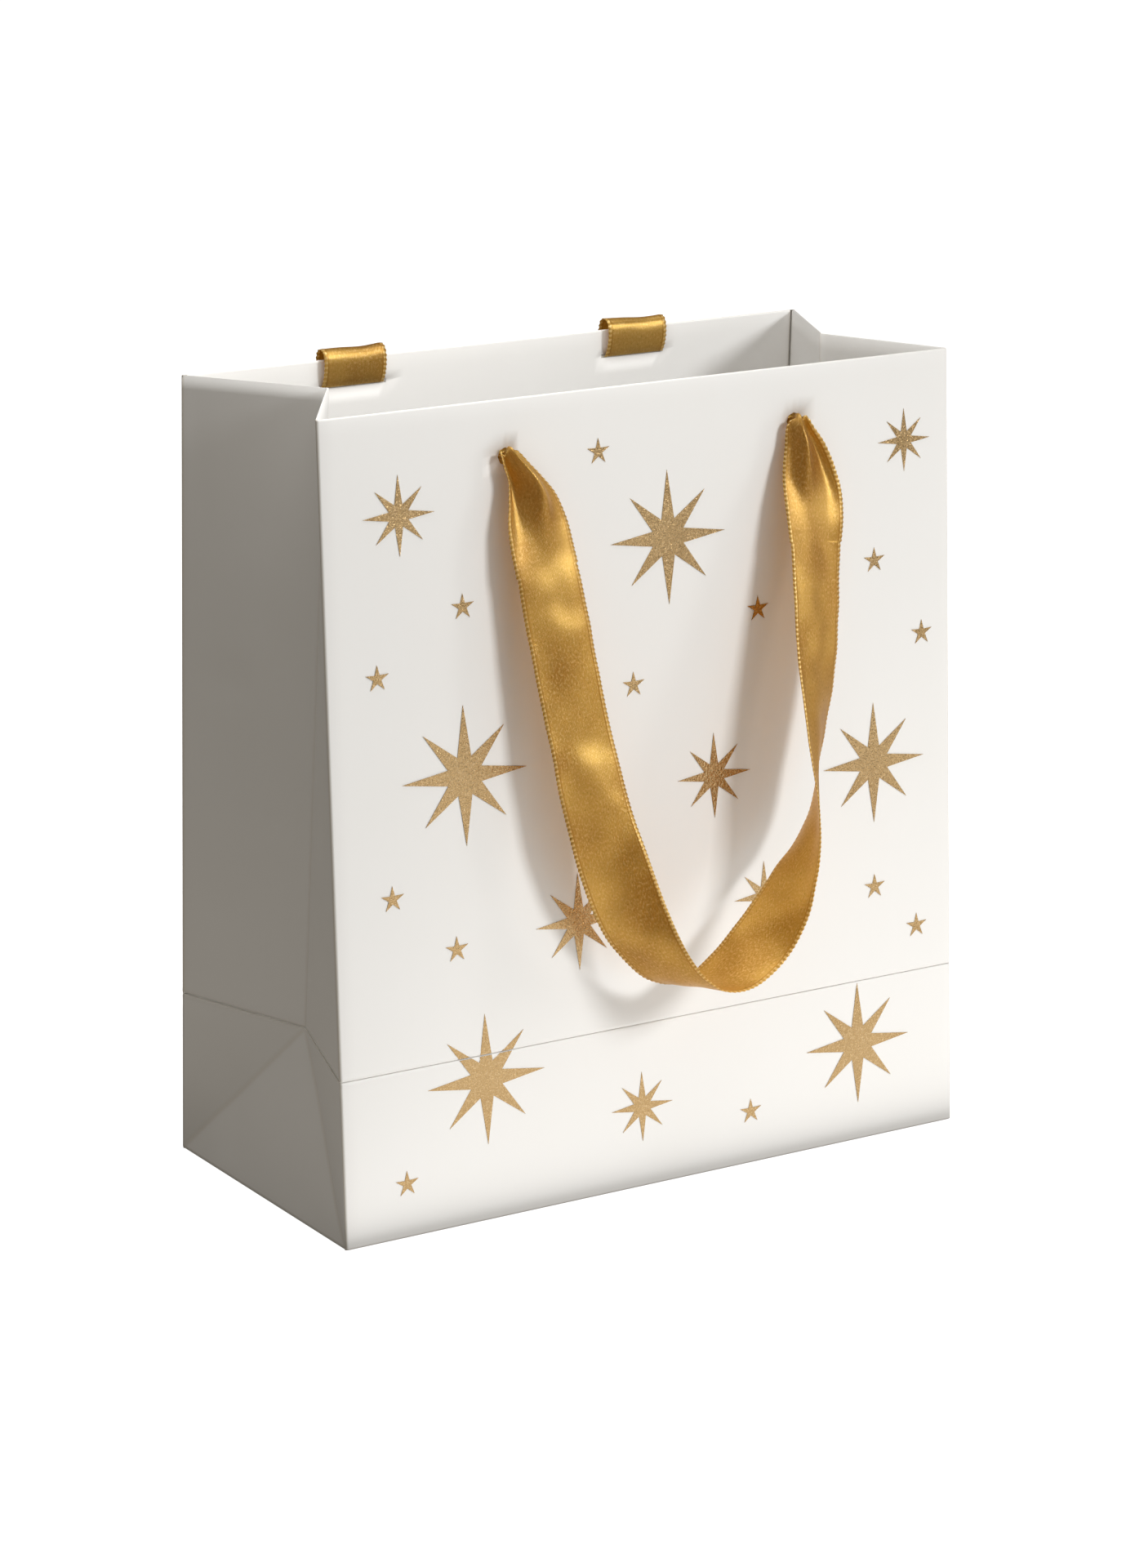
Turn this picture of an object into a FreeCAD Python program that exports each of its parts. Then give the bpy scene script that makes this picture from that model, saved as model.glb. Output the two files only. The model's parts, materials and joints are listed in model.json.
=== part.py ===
import FreeCAD, Part
import math
import os
import Sketcher

# A paper gift bag with foil stars and two satin ribbon handles, standing open.
# Units are millimetres. +X runs to the right along the front, +Y to the back, +Z up.
# The origin is the middle of the bottom face.

SIZES = [
    ("bag_width", 250.0, "width of the front and back walls"),
    ("bag_depth", 120.0, "depth of the bottom"),
    ("bag_height", 280.0, "height of the mouth above the floor"),
    ("mouth_lean", 12.5, "how far each wall leans in at the mouth"),
    ("crease_drop", 1.5, "the horizontal crease's height below half the depth"),
    ("apex_tuck", 18.0, "how far each side fold is pushed in at the crease"),
    ("left_mouth_tuck", 30.0, "how far the left fold is pushed in at the mouth"),
    ("right_mouth_tuck", 20.0, "how far the right fold is pushed in at the mouth"),
    ("paper_thickness", 0.3, "bag paper"),
    ("fold_relief", 0.3, "gap between two panels at a fold line"),
    ("glue_gap", 0.05, "glue line between two layers"),
    ("hem_depth", 42.0, "depth of the turned-in hem"),
    ("hem_side_gap", 1.8, "gap from the hem's ends to the side edges"),
    ("card_thickness", 0.5, "reinforcing card inside the hem"),
    ("card_bottom_gap", 3.0, "gap from the card to the hem's lower edge"),
    ("card_side_gap", 12.0, "gap from the card's ends to the side edges"),
    ("card_top_gap", 1.0, "gap from the card to the mouth's edge"),
    ("base_thickness", 1.5, "base board"),
    ("base_clearance", 1.5, "gap round the base board"),
    ("base_corner", 3.0, "corner radius of the base board"),
    ("flap_overlap", 24.0, "overlap of the two long bottom flaps"),
    ("side_flap_length", 50.0, "length of the short bottom flaps"),
    ("seam_width", 16.0, "width of the glued side seam"),
    ("handle_spacing", 115.0, "distance between a handle's two ends"),
    ("handle_shift", 2.5, "how far the handles sit right of the middle"),
    ("hole_drop", 19.0, "punched hole below the mouth's edge"),
    ("hole_diameter", 6.0, "punched hole"),
    ("neck_diameter", 4.6, "ribbon gathered through a hole"),
    ("neck_reach", 1.8, "how far the gathered ribbon stands out of a hole"),
    ("knot_diameter", 12.0, "knot behind a hole"),
    ("knot_length", 9.0, "thickness of a knot"),
    ("ribbon_width", 24.0, "satin ribbon"),
    ("ribbon_thickness", 0.5, "satin ribbon"),
    ("slit_drop", 12.0, "ribbon slit below the mouth's edge"),
    ("slit_clearance", 0.8, "slit longer than the ribbon is wide, at each end"),
    ("slit_opening", 1.4, "height of a ribbon slit"),
    ("arch_height", 6.0, "how far the rear ribbon stands over the mouth's edge"),
    ("foil_thickness", 0.15, "stamped foil"),
    ("star_waist", 0.29, "inner radius of a big star, as a share of its rays"),
    ("star_diagonal", 0.92, "diagonal rays of a big star, as a share of the others"),
    ("small_star_radius", 4.6, "rays of a small star"),
    ("small_star_waist", 0.34, "inner radius of a small star, as a share of its rays"),
]

# The wall that the star pattern and the ribbon loops are laid out on. They are spread and
# raised with the wall, and the loops follow the ribbon's width and its ends.
LAYOUT_WIDTH = 250.0
LAYOUT_HEIGHT = 280.0
LAYOUT_SPACING = 115.0
LAYOUT_RIBBON = 24.0

# Big stars on each wall: distance right of the middle, height, length of the long rays.
BIG_STARS = [
    (-96, 246, 13.5), (8, 227, 23), (106, 250, 11), (-74, 156, 24), (25, 142, 15),
    (92, 137, 21.5), (-31, 99, 17), (45, 96, 12.5), (-69, 50, 23), (-7, 29, 12.5),
    (84, 36, 22),
]

# Small stars on each wall: distance right of the middle, height.
SMALL_STARS = [
    (-19, 259), (-73, 213), (-106, 193), (-7, 178), (44, 198), (93, 209), (113, 181),
    (-103, 118), (-79, 97), (92, 92), (110, 75), (38, 19), (-101, 19),
]

# The front ribbon's loop, from the left hole to the right one. Each row is the two edges of
# the ribbon: right of the handle's middle, off the wall's face, below the mouth's edge. The
# bottom of the loop turns over, and the right strand twists once.
FRONT_ROWS = [
    ((-61.5, 3.3, 23.3), (-53.5, 3.9, 23.3)),
    ((-62, 6, 39.3), (-41, 9, 40.3)),
    ((-57.5, 12, 81.3), (-34.5, 12, 77.3)),
    ((-52, 15, 122.3), (-29, 16, 115.3)),
    ((-45.5, 16, 149.3), (-23.5, 21, 142.3)),
    ((-37.5, 16, 171.3), (-17, 27, 166.3)),
    ((-22.5, 15, 188.3), (-8.5, 33, 184.3)),
    ((-1.5, 15, 198.3), (2.5, 36, 202.3)),
    ((17.5, 20, 181.3), (30.5, 30, 199.3)),
    ((26.5, 21, 171.3), (43.5, 26, 184.3)),
    ((40.5, 17, 156.3), (47.5, 30, 168.3)),
    ((49.5, 14, 142.3), (48.5, 32, 145.3)),
    ((55.5, 12, 122.3), (46.5, 30, 122.3)),
    ((64.5, 11, 94.3), (46, 22, 96.3)),
    ((70, 10, 64.3), (47, 13, 63.3)),
    ((69.5, 7, 40.3), (48.5, 8, 39.3)),
    ((61.5, 3.3, 23.3), (53.5, 3.9, 23.3)),
]
# rows at which the loop's solids part: the left strand, the bottom and the right strand
FRONT_ENDS = (0, 5, 11, 16)

# Half of the rear ribbon's loop, from its left end to the middle, as seen from behind and
# measured like the front one. The other half mirrors this one.
REAR_HALF = [
    ((-69.5, 3.4, 2.9), (-45.5, 3.4, 2.9)),
    ((-69, 8, 28.3), (-45, 9, 27.3)),
    ((-65.5, 12, 75.3), (-42, 14, 71.3)),
    ((-59.5, 14, 110.3), (-38.5, 19, 103.3)),
    ((-46.5, 14, 142.3), (-29.5, 26, 134.3)),
    ((-27.5, 14, 165.3), (-18.5, 32, 159.3)),
    ((0, 14, 174.3), (0, 34, 170.3)),
]
REAR_ENDS = (0, 3, 9, 12)

# The rear ribbon's way over the mouth's edge: off the wall's face, above the edge.
ARCH_INSIDE = [(-4.2, -6.0), (-4.8, 0.0), (-3.2, 4.2)]
ARCH_CROWN = -0.5
ARCH_OUTSIDE = [(2.2, 4.4), (3.2, 1.0), (3.2, -1.2)]

doc = FreeCAD.newDocument("gift_bag")
sheet = doc.addObject("Spreadsheet::Sheet", "sizes")
for row, (alias, value, meaning) in enumerate(SIZES, start=1):
    sheet.set("A%d" % row, alias)
    sheet.set("B%d" % row, str(value))
    sheet.set("C%d" % row, meaning)
    sheet.setAlias("B%d" % row, alias)
doc.recompute()


def size(alias):
    """Value of one named size, from the sheet."""
    return float(sheet.get(alias))


# Derived places, used by several pieces.
HALF_WIDTH = size("bag_width") / 2
HALF_DEPTH = size("bag_depth") / 2
CREASE_HEIGHT = HALF_DEPTH - size("crease_drop")
LEAN = math.atan(size("mouth_lean") / size("bag_height"))
CREASE_ALONG = CREASE_HEIGHT / math.cos(LEAN)
MOUTH_ALONG = size("bag_height") / math.cos(LEAN)
PAPER = size("paper_thickness")
RELIEF = size("fold_relief")
GLUE = size("glue_gap")
CARD_BACK = PAPER + GLUE + size("card_thickness")
HEM_FACE = CARD_BACK + GLUE
HEM_BACK = HEM_FACE + PAPER
HOLE_ALONG = MOUTH_ALONG - size("hole_drop")
HANDLE_ENDS = [
    size("handle_shift") - size("handle_spacing") / 2,
    size("handle_shift") + size("handle_spacing") / 2,
]
# heights of the stacked bottom layers
FRONT_FLAP_LIFT = PAPER + GLUE
SIDE_FLAP_FLOOR = 2 * (PAPER + GLUE)
BASE_FLOOR = SIDE_FLAP_FLOOR + PAPER + GLUE

# how closely a ribbon's facets meet
FACET_FIT = 1e-4

nodes = []


def keep(feature, label):
    """Name a finished sub-part and list it for export."""
    feature.Label = label
    nodes.append(feature)
    return feature


def vec(x, y, z):
    return FreeCAD.Vector(x, y, z)


def wall_frame(side, along=0.0, off=0.0):
    """Placement on a wall: local X along it, Y up its slope, Z out of its face."""
    lean = FreeCAD.Rotation(vec(1, 0, 0), 90 - math.degrees(LEAN))
    base = FreeCAD.Placement(vec(0, -HALF_DEPTH, 0), lean)
    turn = FreeCAD.Placement(vec(0, 0, 0), FreeCAD.Rotation(vec(0, 0, 1), 0 if side == "front" else 180))
    return turn.multiply(base).multiply(FreeCAD.Placement(vec(0, along, off), FreeCAD.Rotation()))


def wall_point(side, across, off, along):
    """A point on a wall, given as seen from outside that wall."""
    return wall_frame(side).multVec(vec(across, along, off))


def wall_y(height):
    """Distance of the walls' outer faces from the middle at a height."""
    return HALF_DEPTH - size("mouth_lean") * height / size("bag_height")


def tuck(side, height):
    """How far a side fold is pushed in at a height above the crease."""
    share = (height - CREASE_HEIGHT) / (size("bag_height") - CREASE_HEIGHT)
    return size("apex_tuck") + share * (size(side + "_mouth_tuck") - size("apex_tuck"))


# ---- flat sheets: a sketched outline, padded by its thickness ----


def origin_plane(body, role):
    return next(plane for plane in body.Origin.OriginFeatures if plane.Role == role)


def start_sketch(body):
    sketch = body.newObject("Sketcher::SketchObject", body.Name + "_outline")
    sketch.AttachmentSupport = [(origin_plane(body, "XY_Plane"), "")]
    sketch.MapMode = "FlatFace"
    return sketch


def draw_rectangle(sketch, width, height):
    """A rectangle centred on the sketch's vertical axis, standing on its horizontal one."""
    corners = [vec(-10, 0, 0), vec(10, 0, 0), vec(10, 10, 0), vec(-10, 10, 0)]
    for corner in range(4):
        sketch.addGeometry(Part.LineSegment(corners[corner], corners[(corner + 1) % 4]))
    for corner in range(4):
        sketch.addConstraint(Sketcher.Constraint("Coincident", corner, 2, (corner + 1) % 4, 1))
    sketch.addConstraint(Sketcher.Constraint("Horizontal", 0))
    sketch.addConstraint(Sketcher.Constraint("Horizontal", 2))
    sketch.addConstraint(Sketcher.Constraint("Vertical", 1))
    sketch.addConstraint(Sketcher.Constraint("Vertical", 3))
    sketch.addConstraint(Sketcher.Constraint("Symmetric", 0, 1, 0, 2, -1, 1))
    for name, kind, line, formula in (("width", "DistanceX", 0, width), ("height", "DistanceY", 1, height)):
        index = sketch.addConstraint(Sketcher.Constraint(kind, line, 1, line, 2, 10.0))
        sketch.renameConstraint(index, name)
        sketch.setExpression("Constraints." + name, formula)


def draw_hole(sketch, name, across, up):
    """A punched hole; across and up are formulas, and across may be negative."""
    hole = sketch.addGeometry(Part.Circle(vec(-20 if "left" in name else 20, 5, 0), vec(0, 0, 1), 2))
    ends = (hole, 3, -1, 1) if "left" in name else (-1, 1, hole, 3)
    for part, kind, points, formula in (
        ("across", "DistanceX", ends, across),
        ("up", "DistanceY", (-1, 1, hole, 3), up),
        ("size", "Diameter", (hole,), "sizes.hole_diameter"),
    ):
        index = sketch.addConstraint(Sketcher.Constraint(kind, *points, 5.0))
        sketch.renameConstraint(index, name + "_" + part)
        sketch.setExpression("Constraints." + name + "_" + part, formula)


def draw_slit(sketch, name, up):
    """A slit as long as the ribbon is wide, with its clearance."""
    side = -1 if "left" in name else 1
    low = vec(20 * side - 5, 4, 0)
    high = vec(20 * side + 5, 6, 0)
    corners = [low, vec(high.x, low.y, 0), high, vec(low.x, high.y, 0)]
    first = sketch.GeometryCount
    for corner in range(4):
        sketch.addGeometry(Part.LineSegment(corners[corner], corners[(corner + 1) % 4]))
    for corner in range(4):
        following = first + (corner + 1) % 4
        sketch.addConstraint(Sketcher.Constraint("Coincident", first + corner, 2, following, 1))
    for line, direction in ((0, "Horizontal"), (2, "Horizontal"), (1, "Vertical"), (3, "Vertical")):
        sketch.addConstraint(Sketcher.Constraint(direction, first + line))
    # the slits lie mirrored on the rear wall, whose local X runs the other way
    across = "sizes.handle_spacing / 2 %s sizes.handle_shift" % ("+" if side < 0 else "-")
    reach = "(%s) - sizes.ribbon_width / 2 - sizes.slit_clearance" % across
    near = (first, 2, -1, 1) if side < 0 else (-1, 1, first, 1)
    for part, kind, points, formula in (
        ("near", "DistanceX", near, reach),
        ("length", "DistanceX", (first, 1, first, 2), "sizes.ribbon_width + 2 * sizes.slit_clearance"),
        ("opening", "DistanceY", (first + 1, 1, first + 1, 2), "sizes.slit_opening"),
        ("up", "DistanceY", (-1, 1, first, 1), up),
    ):
        index = sketch.addConstraint(Sketcher.Constraint(kind, *points, 5.0))
        sketch.renameConstraint(index, name + "_" + part)
        sketch.setExpression("Constraints." + name + "_" + part, formula)


def flat_sheet(label, width, height, thickness, placement, holes_up=None, slits_up=None):
    """A flat piece lying below its local XY plane, bound to the sheet by formulas."""
    body = doc.addObject("PartDesign::Body", label)
    sketch = start_sketch(body)
    draw_rectangle(sketch, width, height)
    if holes_up:
        draw_hole(sketch, "left_hole", "sizes.handle_spacing / 2 - sizes.handle_shift", holes_up)
        draw_hole(sketch, "right_hole", "sizes.handle_spacing / 2 + sizes.handle_shift", holes_up)
    if slits_up:
        draw_slit(sketch, "left_slit", slits_up)
        draw_slit(sketch, "right_slit", slits_up)
    pad = body.newObject("PartDesign::Pad", label + "_pad")
    pad.Profile = sketch
    pad.setExpression("Length", thickness)
    pad.Reversed = True
    sketch.Visibility = False
    body.Placement = placement
    return keep(body, label)


SLOPE = "cos(atan(sizes.mouth_lean / sizes.bag_height))"
CREASE_UP = "(sizes.bag_depth / 2 - sizes.crease_drop) / " + SLOPE
MOUTH_UP = "sizes.bag_height / " + SLOPE
EDGE_TRIM = "sizes.paper_thickness * sizes.mouth_lean / sizes.bag_height"


def make_walls(side):
    """Lower wall, upper panel, hem and reinforcing card of the front or back."""
    trim = PAPER * math.tan(LEAN)
    flat_sheet(
        side + "_lower_wall",
        "sizes.bag_width",
        "%s - sizes.fold_relief / 2 - %s" % (CREASE_UP, EDGE_TRIM),
        "sizes.paper_thickness",
        wall_frame(side, trim),
    )
    panel_start = CREASE_ALONG + RELIEF / 2
    panel_height = "%s - (%s) - sizes.fold_relief / 2" % (MOUTH_UP, CREASE_UP)
    front = side == "front"
    flat_sheet(
        side + "_panel",
        "sizes.bag_width",
        panel_height,
        "sizes.paper_thickness",
        wall_frame(side, panel_start),
        holes_up=panel_height + " - sizes.hole_drop" if front else None,
    )
    flat_sheet(
        side + "_hem",
        "sizes.bag_width - 2 * sizes.hem_side_gap",
        "sizes.hem_depth",
        "sizes.paper_thickness",
        wall_frame(side, MOUTH_ALONG - size("hem_depth"), -HEM_FACE),
        holes_up="sizes.hem_depth - sizes.hole_drop" if front else None,
        slits_up=None if front else "sizes.hem_depth - sizes.slit_drop",
    )
    flat_sheet(
        side + "_card",
        "sizes.bag_width - 2 * sizes.card_side_gap",
        "sizes.hem_depth - sizes.card_top_gap - sizes.card_bottom_gap",
        "sizes.card_thickness",
        wall_frame(side, MOUTH_ALONG - size("hem_depth") + size("card_bottom_gap"), -PAPER - GLUE),
        holes_up="sizes.hem_depth - sizes.card_bottom_gap - sizes.hole_drop" if front else None,
    )


def make_seam():
    """The glued side seam, inside the back wall, in the two lengths that the crease leaves."""
    corner = vec(HALF_WIDTH - size("hem_side_gap") - size("seam_width"), 0, -PAPER)
    spans = {
        "seam_lower": (BASE_FLOOR + size("base_thickness") + RELIEF, CREASE_ALONG - RELIEF),
        "seam_upper": (CREASE_ALONG + RELIEF, MOUTH_ALONG - size("hem_depth") - RELIEF),
    }
    for label, (start, stop) in spans.items():
        strip = doc.addObject("Part::Box", label)
        strip.setExpression("Length", "sizes.seam_width")
        strip.Width = stop - start
        strip.setExpression("Height", "sizes.paper_thickness")
        shift = FreeCAD.Placement(corner, FreeCAD.Rotation())
        strip.Placement = wall_frame("back", start, -PAPER - GLUE).multiply(shift)
        keep(strip, label)


# ---- side folds ----


def solid_between(lower, upper):
    """Closed solid between two four-cornered sections."""
    wires = [Part.makePolygon(section + [section[0]]) for section in (lower, upper)]
    return Part.makeLoft(wires, True, True)


def gusset_section(side, end, height, depth_in, end_gap):
    """Plan section of half a side fold: outer and inner corners at one height.

    end is -1 for the half beside the front wall and 1 for the half beside the back."""
    way = 1 if side == "left" else -1
    outer = vec(-way * HALF_WIDTH, end * wall_y(height), height)
    fold = vec(-way * (HALF_WIDTH - tuck(side, height)), 0, height)
    along = (fold - outer).normalize()
    inward = vec(way * abs(along.y), end * abs(along.x), 0)
    step = along * (end_gap / abs(along.y))
    start = outer + step + inward * depth_in
    stop = fold - along * (RELIEF / 2 / abs(along.y)) + inward * depth_in
    reach = along * (depth_in * abs(along.x) / abs(along.y))
    stop = stop - reach
    inner_stop = stop + inward * PAPER - along * PAPER * abs(along.x / along.y)
    return [start, stop, inner_stop, start + inward * PAPER]


def make_gusset_half(side, end):
    """One half of a side fold above the crease, with its turned-in hem."""
    name = side + "_gusset_" + ("front" if end < 0 else "back")
    top = size("bag_height")
    wall_gap = PAPER / math.cos(LEAN) + RELIEF
    half = doc.addObject("Part::Feature", name)
    lower = gusset_section(side, end, CREASE_HEIGHT + RELIEF / 2, 0, wall_gap)
    half.Shape = solid_between(lower, gusset_section(side, end, top, 0, wall_gap))
    keep(half, name)
    hem = doc.addObject("Part::Feature", name + "_hem")
    hem_gap = HEM_BACK / math.cos(LEAN) + RELIEF
    hem_start = top - size("hem_depth")
    hem_in = PAPER + GLUE
    lower = gusset_section(side, end, hem_start, hem_in, hem_gap)
    hem.Shape = solid_between(lower, gusset_section(side, end, top, hem_in, hem_gap))
    keep(hem, name + "_hem")


def inset(points, distance):
    """Shrink a flat triangle by the same distance on each of its edges."""
    moved = []
    for index, point in enumerate(points):
        before = (points[index - 1] - point).normalize()
        after = (points[(index + 1) % 3] - point).normalize()
        half_angle = before.getAngle(after) / 2
        middle = (before + after).normalize()
        moved.append(point + middle * (distance / math.sin(half_angle)))
    return moved


def make_triangle(label, points, inner_point):
    """A flat triangle of paper, as thick as the bag, on the inner side of its corners."""
    corners = inset(points, RELIEF)
    normal = (corners[1] - corners[0]).cross(corners[2] - corners[0]).normalize()
    if normal.dot(inner_point - corners[0]) < 0:
        normal = normal * -1
    face = Part.Face(Part.makePolygon(corners + [corners[0]]))
    triangle = doc.addObject("Part::Feature", label)
    triangle.Shape = face.extrude(normal * PAPER)
    keep(triangle, label)


def make_lower_gusset(side):
    """The three triangles that the side wall folds into below the crease."""
    x = -HALF_WIDTH if side == "left" else HALF_WIDTH
    way = 1 if side == "left" else -1
    apex = vec(x + way * size("apex_tuck"), 0, CREASE_HEIGHT)
    inner_point = vec(0, 0, CREASE_HEIGHT / 2)
    foot = HALF_DEPTH - PAPER - RELIEF
    knee = wall_y(CREASE_HEIGHT) - PAPER - RELIEF
    make_triangle(side + "_base_triangle", [vec(x, -foot, 0), vec(x, foot, 0), apex], inner_point)
    for end, word in ((-1, "front"), (1, "back")):
        corner = [vec(x, end * foot, 0), vec(x, end * knee, CREASE_HEIGHT), apex]
        make_triangle(side + "_corner_" + word, corner, inner_point)


# ---- bottom ----


def make_bottom():
    """Two long flaps, two short flaps and the loose base board."""
    inside_y = HALF_DEPTH - PAPER - RELIEF
    inside_x = HALF_WIDTH - PAPER - 2 * RELIEF
    half_lap = size("flap_overlap") / 2
    ramp = 4 * PAPER
    lift = FRONT_FLAP_LIFT

    back_flap = doc.addObject("Part::Box", "bottom_flap_back")
    back_flap.Length = 2 * inside_x
    back_flap.Width = inside_y + half_lap
    back_flap.setExpression("Height", "sizes.paper_thickness")
    back_flap.Placement.Base = vec(-inside_x, -half_lap, 0)
    keep(back_flap, "bottom_flap_back")

    step = -half_lap - ramp - RELIEF
    outline = [
        (-inside_y, 0), (step, 0), (step + ramp, lift), (half_lap, lift),
        (half_lap, lift + PAPER), (step + ramp, lift + PAPER), (step, PAPER), (-inside_y, PAPER),
    ]
    points = [vec(-inside_x, y, z) for y, z in outline]
    front_flap = doc.addObject("Part::Feature", "bottom_flap_front")
    face = Part.Face(Part.makePolygon(points + [points[0]]))
    front_flap.Shape = face.extrude(vec(2 * inside_x, 0, 0))
    keep(front_flap, "bottom_flap_front")

    for side, start in (("left", -inside_x), ("right", inside_x - size("side_flap_length"))):
        label = "bottom_flap_" + side
        flap = doc.addObject("Part::Box", label)
        flap.setExpression("Length", "sizes.side_flap_length")
        flap.Width = 2 * inside_y
        flap.setExpression("Height", "sizes.paper_thickness")
        flap.Placement.Base = vec(start, -inside_y, SIDE_FLAP_FLOOR)
        keep(flap, label)

    board = doc.addObject("PartDesign::Body", "base_board")
    sketch = start_sketch(board)
    draw_rectangle(
        sketch,
        "sizes.bag_width - 2 * sizes.base_clearance",
        "sizes.bag_depth - 2 * sizes.base_clearance",
    )
    pad = board.newObject("PartDesign::Pad", "base_board_pad")
    pad.Profile = sketch
    pad.setExpression("Length", "sizes.base_thickness")
    sketch.Visibility = False
    doc.recompute()
    uprights = []
    for index, edge in enumerate(pad.Shape.Edges, start=1):
        if abs(edge.tangentAt(edge.FirstParameter).z) > 0.99:
            uprights.append("Edge%d" % index)
    rounding = board.newObject("PartDesign::Fillet", "base_board_corners")
    rounding.Base = (pad, uprights)
    rounding.setExpression("Radius", "sizes.base_corner")
    board.Placement.Base = vec(0, size("base_clearance") - HALF_DEPTH, BASE_FLOOR)
    keep(board, "base_board")


# ---- ribbons ----


def ribbon_sections(side, rows):
    """The thin four-cornered sections of a ribbon, from rows of its two edges."""
    edges = [[wall_point(side, *corner) for corner in row] for row in rows]
    middles = [(first + second) * 0.5 for first, second in edges]
    sections = []
    for index, (first, second) in enumerate(edges):
        ahead = middles[min(index + 1, len(middles) - 1)]
        behind = middles[max(index - 1, 0)]
        out = (second - first).cross(ahead - behind).normalize() * (size("ribbon_thickness") / 2)
        sections.append([first - out, second - out, second + out, first + out])
    return sections


def strip_solid(sections):
    """A closed strip of flat facets through four-cornered sections."""
    points = [corner for section in sections for corner in section]
    last = len(points) - 4
    facets = [(2, 1, 0), (3, 2, 0), (last, last + 1, last + 2), (last, last + 2, last + 3)]
    for start in range(0, last, 4):
        for corner in range(4):
            near = start + corner
            beside = start + (corner + 1) % 4
            # both faces of the ribbon are split along the same diagonal
            if corner < 2:
                facets += [(near, beside, beside + 4), (near, beside + 4, near + 4)]
            else:
                facets += [(near, beside, near + 4), (beside, beside + 4, near + 4)]
    skin = Part.Shape()
    skin.makeShapeFromMesh((points, facets), FACET_FIT)
    strip = Part.makeSolid(skin)
    if strip.Volume < 0:
        strip.reverse()
    return strip


def fit_row(row, middle_across):
    """A row of a loop, fitted to the ribbon's width and the distance between its ends."""
    first, second = [vec(*corner) for corner in row]
    middle = (first + second) * 0.5
    half = (second - first) * (size("ribbon_width") / LAYOUT_RIBBON / 2)
    middle.x = middle_across + middle.x * size("handle_spacing") / LAYOUT_SPACING
    corners = (middle - half, middle + half)
    return [(corner.x, corner.y, MOUTH_ALONG - corner.z) for corner in corners]


def make_loop(side, rows, middle_across, ends, labels):
    """A hanging loop of ribbon, in one solid for each label."""
    sections = ribbon_sections(side, [fit_row(row, middle_across) for row in rows])
    for label, start, stop in zip(labels, ends, ends[1:]):
        strip = doc.addObject("Part::Feature", label)
        strip.Shape = strip_solid(sections[start:stop + 1])
        keep(strip, label)


def make_front_ribbon():
    """The front handle: two knots behind the wall and a hanging loop in front of it."""
    knots = []
    for across in HANDLE_ENDS:
        knot = Part.makeSphere(size("knot_diameter") / 2)
        squeeze = FreeCAD.Matrix()
        squeeze.scale(1, 1, size("knot_length") / size("knot_diameter"))
        knot = knot.transformGeometry(squeeze)
        sink = HEM_BACK + GLUE + size("knot_length") / 2
        centre = vec(across, HOLE_ALONG, -sink)
        knot.translate(centre)
        neck_length = sink + size("neck_reach")
        neck = Part.makeCylinder(size("neck_diameter") / 2, neck_length, centre, vec(0, 0, 1))
        knots.append(knot.fuse(neck))
    group = doc.addObject("Part::Feature", "front_ribbon_knots")
    group.Shape = Part.makeCompound(knots)
    group.Placement = wall_frame("front")
    keep(group, "front_ribbon_knots")
    labels = ("front_ribbon_left", "front_ribbon_loop", "front_ribbon_right")
    make_loop("front", FRONT_ROWS, size("handle_shift"), FRONT_ENDS, labels)


def make_rear_ribbon():
    """The rear handle: out of the hem's slits, over the mouth's edge and down behind."""
    slit_middle = size("slit_opening") / 2 - size("slit_drop")
    slit_end = (-HEM_BACK - GLUE - size("ribbon_thickness") / 2, slit_middle)
    profile = [slit_end] + ARCH_INSIDE + [(ARCH_CROWN, size("arch_height"))] + ARCH_OUTSIDE
    half_width = size("ribbon_width") / 2
    arches = []
    for across in HANDLE_ENDS:
        # the rear wall's local X runs to the left
        rows = []
        for off, above in profile:
            along = MOUTH_ALONG + above
            rows.append(((-across - half_width, off, along), (-across + half_width, off, along)))
        arches.append(strip_solid(ribbon_sections("back", rows)))
    group = doc.addObject("Part::Feature", "rear_ribbon_arches")
    group.Shape = Part.makeCompound(arches)
    keep(group, "rear_ribbon_arches")
    other_half = []
    for row in reversed(REAR_HALF[:-1]):
        other_half.append([(-across, off, drop) for across, off, drop in row])
    # seen from behind, the loop starts at the bag's right and the shift turns round
    labels = ("rear_ribbon_right", "rear_ribbon_loop", "rear_ribbon_left")
    make_loop("back", REAR_HALF + other_half, -size("handle_shift"), REAR_ENDS, labels)


# ---- foil stars ----


def star_face(across, up, rays, radius, waist, second=1.0):
    """A star with straight-sided rays, one of them pointing up."""
    points = []
    for index in range(2 * rays):
        angle = math.pi / 2 + index * math.pi / rays
        tip = radius * (second if index % 4 == 2 else 1.0)
        reach = tip if index % 2 == 0 else radius * waist
        points.append(vec(across + reach * math.cos(angle), up + reach * math.sin(angle), 0))
    return Part.Face(Part.makePolygon(points + [points[0]]))


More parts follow.
